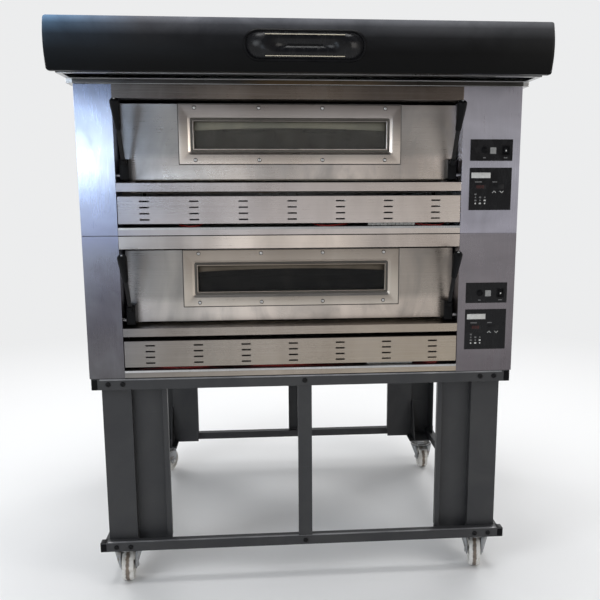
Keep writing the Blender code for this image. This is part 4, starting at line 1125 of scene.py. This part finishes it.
def cables(deck):
    """Red heat-proof leads seen through the gap under the vent panel."""
    vent_low, vent_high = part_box(f"{deck}_vent_panel")
    z = vent_low[2] - 0.008
    y = vent_low[1] + 0.034
    for index, (start, end, rise) in enumerate(LEADS[deck]):
        curve = bpy.data.curves.new(f"{deck}_lead_{index}", "CURVE")
        curve.dimensions = "3D"
        curve.bevel_depth = 0.0026
        curve.bevel_resolution = 3
        spline = curve.splines.new("NURBS")
        count = 9
        spline.points.add(count - 1)
        for i in range(count):
            along = i / (count - 1)
            wave = math.sin(along * math.pi * 2.2 + index)
            spot = (start + (end - start) * along, y + 0.010 * wave, z + rise * wave)
            if i in (0, count - 1):
                spot = (spot[0], y + 0.060, z + 0.010)
            spline.points[i].co = (*spot, 1.0)
        spline.use_endpoint_u = True
        obj = bpy.data.objects.new(f"{deck}_lead_{index}", curve)
        bpy.context.scene.collection.objects.link(obj)
        curve.materials.append(MATERIALS["red_cable"])
        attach(obj, ROOT)


PAINTED_HIGHLIGHTS = (                # painted highlights along the rails' top front edges: name, rail, half length, from its front face, from its top, rounding
    ("top_rail_highlight", "stand_top_rail_front", 0.650, (-0.0012, 0.0030), (-0.0056, -0.0006), 0.0010),
    ("bottom_rail_highlight", "stand_bottom_rail_front", 0.652, (0.0018, 0.0110), (-0.0012, 0.0006), 0.0006),
)


def deck_seams():
    """Dark joints under the upper deck's strip, between the decks and over the stand."""
    low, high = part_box("upper_door_ledge")
    stand_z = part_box("stand_top_rail_front")[1][2]
    seams = bmesh.new()
    y0, y1 = low[1] - 0.0006, low[1] + 0.0040
    for z0, z1 in ((DECK_JOINT_Z - 0.0017, DECK_JOINT_Z + 0.0017), (stand_z - 0.0004, stand_z + 0.0026)):
        add_box(seams, (low[0], y0, z0), (high[0], y1, z1), 0.0005, 1)
    piece_from("deck_joint_seals", seams, "plastic", ROOT)
    # lighter strips on the rails' top front edges: painted highlights
    for name, rail, half, (y0, y1), (z0, z1), radius in PAINTED_HIGHLIGHTS:
        rail_low, rail_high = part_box(rail)
        edge = bmesh.new()
        low = (-half, rail_low[1] + y0, rail_high[2] + z0)
        add_box(edge, low, (half, rail_low[1] + y1, rail_high[2] + z1), radius, 2)
        piece_from(name, edge, "edge_light", ROOT)


STRIP_HEIGHT = 0.0176         # bright strip at the foot of each deck's front


def strip_trim(deck):
    """Thin brushed facing on the strip under the vent panel."""
    low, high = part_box(f"{deck}_door_ledge")
    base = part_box(f"{deck}_casing")[0][2]
    builder = bmesh.new()
    facing_low = (low[0] + 0.0005, low[1] - 0.0004, base + 0.0006)
    add_box(builder, facing_low, (high[0] - 0.0005, low[1] - 0.0001, base + STRIP_HEIGHT))
    piece_from(f"{deck}_strip_facing", builder, "steel_x", ROOT)


def rear_gasket(deck):
    """Dark gasket that closes the joint between the casing and the back cover."""
    low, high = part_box(f"{deck}_back_cover")
    casing_low, casing_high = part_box(f"{deck}_casing")
    x0, x1 = casing_low[0] + 0.0018, casing_high[0] - 0.0018
    z0, z1 = casing_low[2] + 0.0018, casing_high[2] - 0.0018
    y0, y1 = low[1] - 0.0030, low[1] - 0.0003
    wide = 0.018
    builder = bmesh.new()
    add_box(builder, (x0, y0, z0), (x0 + wide, y1, z1))
    add_box(builder, (x1 - wide, y0, z0), (x1, y1, z1))
    add_box(builder, (x0 + wide, y0, z0), (x1 - wide, y1, z0 + wide))
    add_box(builder, (x0 + wide, y0, z1 - wide), (x1 - wide, y1, z1))
    piece_from(f"{deck}_rear_gasket", builder, "plastic", ROOT)


LOUVRE_WIDTH = 0.110
LOUVRE_RISE = 0.0045          # how far a louvre stands out of the cover


def add_louvre(builder, middle_x, face_y, z):
    """Pressed louvre, open below, its ends running out into the sheet."""
    half = LOUVRE_WIDTH / 2
    rings = []
    for x, rise in ((-half, 0.02), (-half + 0.007, 1.0), (half - 0.007, 1.0), (half, 0.02)):
        crest, lip = LOUVRE_RISE * 0.7 * rise, LOUVRE_RISE * rise
        section = ((-0.0002, 0.011), (crest, 0.007), (lip, 0.0), (-0.0002, 0.0))
        rings.append([builder.verts.new((middle_x + x, face_y + out, z + up)) for out, up in section])
    for first, second in zip(rings, rings[1:]):
        for i in range(4):
            j = (i + 1) % 4
            builder.faces.new((first[i], first[j], second[j], second[i]))
    builder.faces.new(rings[0])
    builder.faces.new(rings[-1][::-1])


def outer_panels(deck):
    """Louvres and screws of the back cover, and the screws along the casing's sides."""
    low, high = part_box(f"{deck}_back_cover")
    louvres, slots, screws = bmesh.new(), bmesh.new(), bmesh.new()
    for middle_x in (-0.46, -0.32, 0.32, 0.46):
        for i in range(6):
            z = high[2] - 0.105 - i * 0.026
            add_louvre(louvres, middle_x, high[1], z)
            # black plate under each louvre: painted shade for the dark of its opening
            half = LOUVRE_WIDTH / 2 - 0.009
            slot_low = (middle_x - half, high[1] - 0.0003, z - 0.0040)
            add_box(slots, slot_low, (middle_x + half, high[1] + 0.0002, z))
    fix_normals(louvres)
    piece_from(f"{deck}_rear_louvres", louvres, "steel_side", ROOT)
    piece_from(f"{deck}_rear_slot_shade", slots, "plastic", ROOT)
    for i in range(7):
        x = low[0] + 0.020 + (high[0] - low[0] - 0.040) * i / 6
        for z in (low[2] + 0.012, high[2] - 0.012):
            add_screw(screws, (x, high[1], z), (0, 1, 0), 0.0042, 0.0022)
    casing_low, casing_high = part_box(f"{deck}_casing")
    for side, x in ((-1, casing_low[0]), (1, casing_high[0])):
        for i in range(5):
            y = casing_low[1] + 0.040 + (casing_high[1] - casing_low[1] - 0.080) * i / 4
            for z in (casing_low[2] + 0.014, casing_high[2] - 0.014):
                add_screw(screws, (x, y, z), (side, 0, 0), 0.0042, 0.0022)
    piece_from(f"{deck}_panel_fixings", screws, "zinc", ROOT)


TERMINALS = 12
TERMINAL_PITCH = 0.0125


def terminal_block(deck):
    """Pale connector strip seen in the gap under the vent panel."""
    vent_low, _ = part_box(f"{deck}_vent_panel")
    builder = bmesh.new()
    y, z = vent_low[1] + 0.020, vent_low[2] - 0.0095
    for i in range(TERMINALS):
        x = 0.205 + i * TERMINAL_PITCH
        add_box(builder, (x, y, z), (x + 0.0118, vent_low[1] + 0.040, z + 0.016), 0.0008, 1)
    piece_from(f"{deck}_terminal_block", builder, "print", ROOT)


# ---- Stand and castors -----------------------------------------------------------------


def stand():
    for level in ("bottom", "top"):
        for place in ("front", "back", "left", "right"):
            dress(f"stand_{level}_rail_{place}", "stand", 0.0030)
    for corner in CORNERS:
        dress(f"stand_leg_{corner}", "stand", 0.0009)
    for place in ("front", "back"):
        dress(f"stand_post_{place}", "stand", 0.0009)


CAP_GROWTH = 0.0008           # a rail's end cap stands out this far all round
RAIL_BOLT = [
    (0.0082, 0.0), (0.0082, 0.0016), (0.0070, 0.0038), (0.0040, 0.0050),
    (0.0034, 0.0050), (0.0030, 0.0032), (0.0, 0.0032),
]


def rail_fittings():
    """Plastic end caps and black bolt heads on the rails."""
    caps = bmesh.new()
    bolts = bmesh.new()
    for level in ("bottom", "top"):
        for place in ("front", "back"):
            low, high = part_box(f"stand_{level}_rail_{place}")
            for side in (-1, 1):
                inner = side * (high[0] - 0.022)
                outer = side * (high[0] + 0.001)
                x_low, x_high = min(inner, outer), max(inner, outer)
                cap_low = (x_low, low[1] - CAP_GROWTH, low[2] - CAP_GROWTH)
                add_box(caps, cap_low, (x_high, high[1] + CAP_GROWTH, high[2] + CAP_GROWTH), 0.0055, 4)
            face_y = low[1] if place == "front" else high[1]
            out = -1 if place == "front" else 1
            middle_z = (low[2] + high[2]) / 2
            for x in (-0.624, -0.578, 0.0, 0.578, 0.624):
                add_turned(bolts, RAIL_BOLT, (x, face_y, middle_z), (0, out, 0), 20)
    piece_from("rail_end_caps", caps, "plastic", ROOT)
    piece_from("rail_bolts", bolts, "bracket", ROOT, 40.0)


def castor_matrix(corner):
    swivel = joint_place(f"swivel_{corner}")
    axis = Vector(JOINTS[f"roll_{corner}"]["axis"])
    heading = math.atan2(axis.y, axis.x)
    return Matrix.Translation((swivel.x, swivel.y, 0.0)) @ Matrix.Rotation(heading, 4, "Z")


CHEEK_LEVELS = (              # height, outer reach along the axle, rear and front reach, inward turn
    (0.1072, 0.0445, 0.024, -0.032, 0.0200),
    (0.0980, 0.0425, 0.023, -0.036, 0.0190),
    (0.0860, 0.0385, 0.019, -0.041, 0.0155),
    (0.0740, 0.0345, 0.007, -0.046, 0.0120),
    (0.0640, 0.0310, -0.004, -0.049, 0.0085),
    (0.0540, 0.0270, -0.012, -0.047, 0.0045),
    (0.0440, 0.0254, -0.015, -0.042, 0.0015),
    (0.0380, 0.0250, -0.019, -0.036, 0.0),
)


CHEEK_EDGE = (                # place from the rear edge to the front, and share of the inward turn
    (0.0, 1.0), (0.02, 0.62), (0.06, 0.25), (0.14, 0.0), (0.5, 0.0),
    (0.86, 0.0), (0.94, 0.25), (0.98, 0.62), (1.0, 1.0),
)
TRAIL = 0.027
WHEEL_HALF = 0.019
CROWN = [
    (0.0, 0.1060), (0.0430, 0.1060), (0.0456, 0.1066), (0.0460, 0.1080), (0.0450, 0.1098), (0.0420, 0.1104),
]
RACE = [
    (0.0310, 0.1104), (0.0310, 0.1150), (0.0290, 0.1162), (0.0275, 0.1180),
    (0.0290, 0.1200), (0.0310, 0.1215), (0.0310, 0.1272), (0.0, 0.1272),
]
KING_PIN = [(0.0, 0.098), (0.007, 0.098), (0.009, 0.101), (0.009, 0.1061), (0.0, 0.1061)]
AXLE = [(0.0, -0.0330), (0.0050, -0.0330), (0.0050, 0.0330), (0.0, 0.0330)]
AXLE_WASHER = [(0.0, 0.0262), (0.0100, 0.0262), (0.0100, 0.0274), (0.0088, 0.0278), (0.0, 0.0278)]
AXLE_NUT = [(0.0, 0.0276), (0.0080, 0.0276), (0.0080, 0.0312), (0.0070, 0.0324), (0.0, 0.0324)]
PEDAL = [(-0.0300, 0.1010), (-0.0440, 0.0985), (-0.0560, 0.0930), (-0.0640, 0.0935), (-0.0670, 0.0960)]
WHEEL_SIDE = [                # radius and height above the wheel's side
    (0.0056, -0.002), (0.0056, 0.001), (0.0125, 0.001), (0.0140, -0.0005), (0.0150, -0.006),
    (0.0340, -0.008), (0.0385, -0.006), (0.0400, -0.001), (0.0415, 0.0), (0.0455, 0.0),
    (0.0480, -0.0018), (0.0494, -0.0055), (0.0500, -0.011), (0.0500, -WHEEL_HALF),
]


def castor_cheek(builder, side):
    """One flared side of the fork, its front and rear edges pressed in towards the wheel."""
    rows = []
    for height, reach, rear, front, turn in CHEEK_LEVELS:
        span = rear - front
        row = []
        for along, inward in CHEEK_EDGE:
            row.append(builder.verts.new((side * (reach - turn * inward), rear - span * along, height)))
        rows.append(row)
    for first, second in zip(rows, rows[1:]):
        for i in range(len(first) - 1):
            builder.faces.new((first[i], first[i + 1], second[i + 1], second[i]))


def castor(corner):
    place = castor_matrix(corner)
    fork_body, wheel_body = f"castor_fork_{corner}", f"castor_wheel_{corner}"

    builder = bmesh.new()
    for side in (-1, 1):
        castor_cheek(builder, side)
    fix_normals(builder)
    builder.transform(place)
    yoke = piece_from(f"castor_yoke_{corner}", builder, "zinc_matt", fork_body, 50.0)
    thicken(yoke, 0.0026, 0.0)
    yoke.modifiers["Sheet"].offset = 0.0
    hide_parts(f"castor_fork_{corner}")

    builder = bmesh.new()
    add_turned(builder, CROWN + RACE, (0, 0, 0), (0, 0, 1), 40)
    add_turned(builder, KING_PIN, (0, 0, 0), (0, 0, 1), 6)
    builder.transform(place)
    piece_from(f"castor_race_{corner}", builder, "zinc", fork_body, 40.0)

    builder = bmesh.new()
    base = (0.0, -TRAIL, 0.050)
    add_turned(builder, AXLE, base, (1, 0, 0), 20)
    for side in (-1, 1):
        add_turned(builder, AXLE_WASHER, base, (side, 0, 0), 24)
        add_turned(builder, AXLE_NUT, base, (side, 0, 0), 6)
    builder.transform(place)
    piece_from(f"castor_axle_{corner}", builder, "zinc", fork_body, 30.0)

    if corner.startswith("back"):
        builder = bmesh.new()
        rows = [[builder.verts.new((x, y, z)) for y, z in PEDAL] for x in (-0.017, 0.017)]
        for i in range(len(PEDAL) - 1):
            builder.faces.new((rows[0][i], rows[0][i + 1], rows[1][i + 1], rows[1][i]))
        fix_normals(builder)
        builder.transform(place)
        pedal = piece_from(f"castor_pedal_{corner}", builder, "zinc", fork_body, 50.0)
        thicken(pedal, 0.0022, 0.0008)

    builder = bmesh.new()
    profile = [(radius, WHEEL_HALF + height) for radius, height in WHEEL_SIDE]
    profile += [(radius, -height) for radius, height in profile[-2::-1]]
    profile.append(profile[0])
    add_turned(builder, profile, base, (1, 0, 0), 48)
    fix_normals(builder)
    builder.transform(place)
    axis = Vector(JOINTS[f"roll_{corner}"]["axis"])
    centre = joint_place(f"roll_{corner}")
    nylon = nylon_wheel(f"nylon_{corner}", centre, axis)
    wheel = piece_from(f"castor_tyre_{corner}", builder, nylon, wheel_body, 32.0)
    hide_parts(f"castor_wheel_{corner}")


# ---- Hood ------------------------------------------------------------------------------


def hood_profile():
    """Outer curve of the black front in (y, z), lower lip first."""
    low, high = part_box("hood_front")
    nose, back = low[1], high[1] - 0.004
    bottom, top = low[2], high[2]
    depth = back - nose
    points = [(back, bottom + 0.002), (back - 0.010, bottom)]
    steps = 18
    for step in range(steps + 1):
        along = step / steps
        bulge = math.sin(math.pi * (0.20 + 0.55 * along))
        points.append((nose + depth * 0.92 * (1.0 - bulge), bottom + 0.001 + along * (top - bottom - 0.001)))
    points.append((back, top))
    return points


def hood_front():
    low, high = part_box("hood_front")
    outline = hood_profile()
    builder = bmesh.new()
    half = high[0]
    round_x = 0.010
    stations = [(-half, 0.006), (-half + round_x * 0.4, 0.0016), (-half + round_x, 0.0)]
    stations += [(half - round_x, 0.0), (half - round_x * 0.4, 0.0016), (half, 0.006)]
    middle_z = (low[2] + high[2]) / 2
    back = high[1]
    rings = []
    for x, inset in stations:
        ring = []
        for y, z in outline:
            ring.append(builder.verts.new((x, min(y + inset, back), z + (middle_z - z) * inset / 0.07)))
        rings.append(ring)
    for first, second in zip(rings, rings[1:]):
        for i in range(len(outline) - 1):
            builder.faces.new((first[i], first[i + 1], second[i + 1], second[i]))
    builder.faces.new(rings[0])
    builder.faces.new(rings[-1][::-1])
    fix_normals(builder)
    front = piece_from("hood_front_shell", builder, "hood", ROOT, 40.0)
    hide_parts("hood_front")
    dress("hood_body", "steel_side", 0.0010)
    body_low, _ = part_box("hood_body")
    lip = low[2] - 0.0020
    # its shadowed steel is painted shade, with a painted warm reflection in the middle
    lining = bmesh.new()
    add_box(lining, (-0.682, -0.4797, body_low[2] + 0.0012), (0.682, -0.4786, lip - 0.0003), 0.0003, 1)
    piece_from("hood_rear_seal", lining, "shadow", ROOT)
    # black strip along the middle of the hood's lower rim: painted shade
    rim = bmesh.new()
    shade_low = (-0.560, body_low[1] + 0.0010, lip - 0.0008)
    add_box(rim, shade_low, (0.560, body_low[1] + 0.0125, lip + 0.0006), 0.0003, 1)
    piece_from("hood_lip_shade", rim, "bracket", ROOT)
    # the baffle's near-black colour is painted shade in the hood's recess
    dress("hood_baffle", "recess", 0.0)
    dress("flue_collar", "steel_side", 0.0)


def badge():
    """Stadium-shaped plate with two cream lines and no lettering."""
    low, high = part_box("hood_front")
    centre_x, centre_z = -0.001, high[2] - 0.0735
    profile = hood_profile()

    def surface_y(z):
        for (y0, z0), (y1, z1) in zip(profile, profile[1:]):
            if z0 <= z <= z1 and z1 > z0:
                return y0 + (y1 - y0) * (z - z0) / (z1 - z0)
        return low[1]

    def stadium(width, height, proud, steps=14):
        points = rounded_outline(width, height, height / 2 - 0.0001, steps)
        return [(centre_x + x, surface_y(centre_z + z) - proud, centre_z + z) for x, z in points]

    def band(name, outer, inner, material):
        builder = bmesh.new()
        a = [builder.verts.new(p) for p in outer]
        b = [builder.verts.new(p) for p in inner]
        for i in range(len(a)):
            j = (i + 1) % len(a)
            builder.faces.new((a[i], a[j], b[j], b[i]))
        fix_normals(builder)
        made = piece_from(name, builder, material, ROOT, 60.0)
        thicken(made, 0.0006, 0.0)

    band("badge_rim", stadium(0.347, 0.0880, 0.0006), stadium(0.333, 0.0740, 0.0026), "plastic")
    band("badge_field", stadium(0.333, 0.0740, 0.0018), stadium(0.10, 0.006, 0.0018), "gloss")
    lines = bmesh.new()
    for rise in (-0.029, 0.029):
        y = surface_y(centre_z + rise) - 0.0026
        z = centre_z + rise
        add_box(lines, (centre_x - 0.112, y, z - 0.0009), (centre_x + 0.112, y + 0.002, z + 0.0009))
    piece_from("badge_lines", lines, "cream", ROOT)


# ---- Assembly --------------------------------------------------------------------------

add_camera()
add_lights()
add_world()
add_stage()
for deck_name in DECKS:
    deck_shell(deck_name)
    door(deck_name)
    for lever_side in SIDES:
        lever(deck_name, lever_side)
    control_plates(deck_name)
    rocker(deck_name)
    cables(deck_name)
    terminal_block(deck_name)
    strip_trim(deck_name)
    rear_gasket(deck_name)
    outer_panels(deck_name)
deck_seams()
stand()
rail_fittings()
for castor_corner in CORNERS:
    castor(castor_corner)
hood_front()
badge()
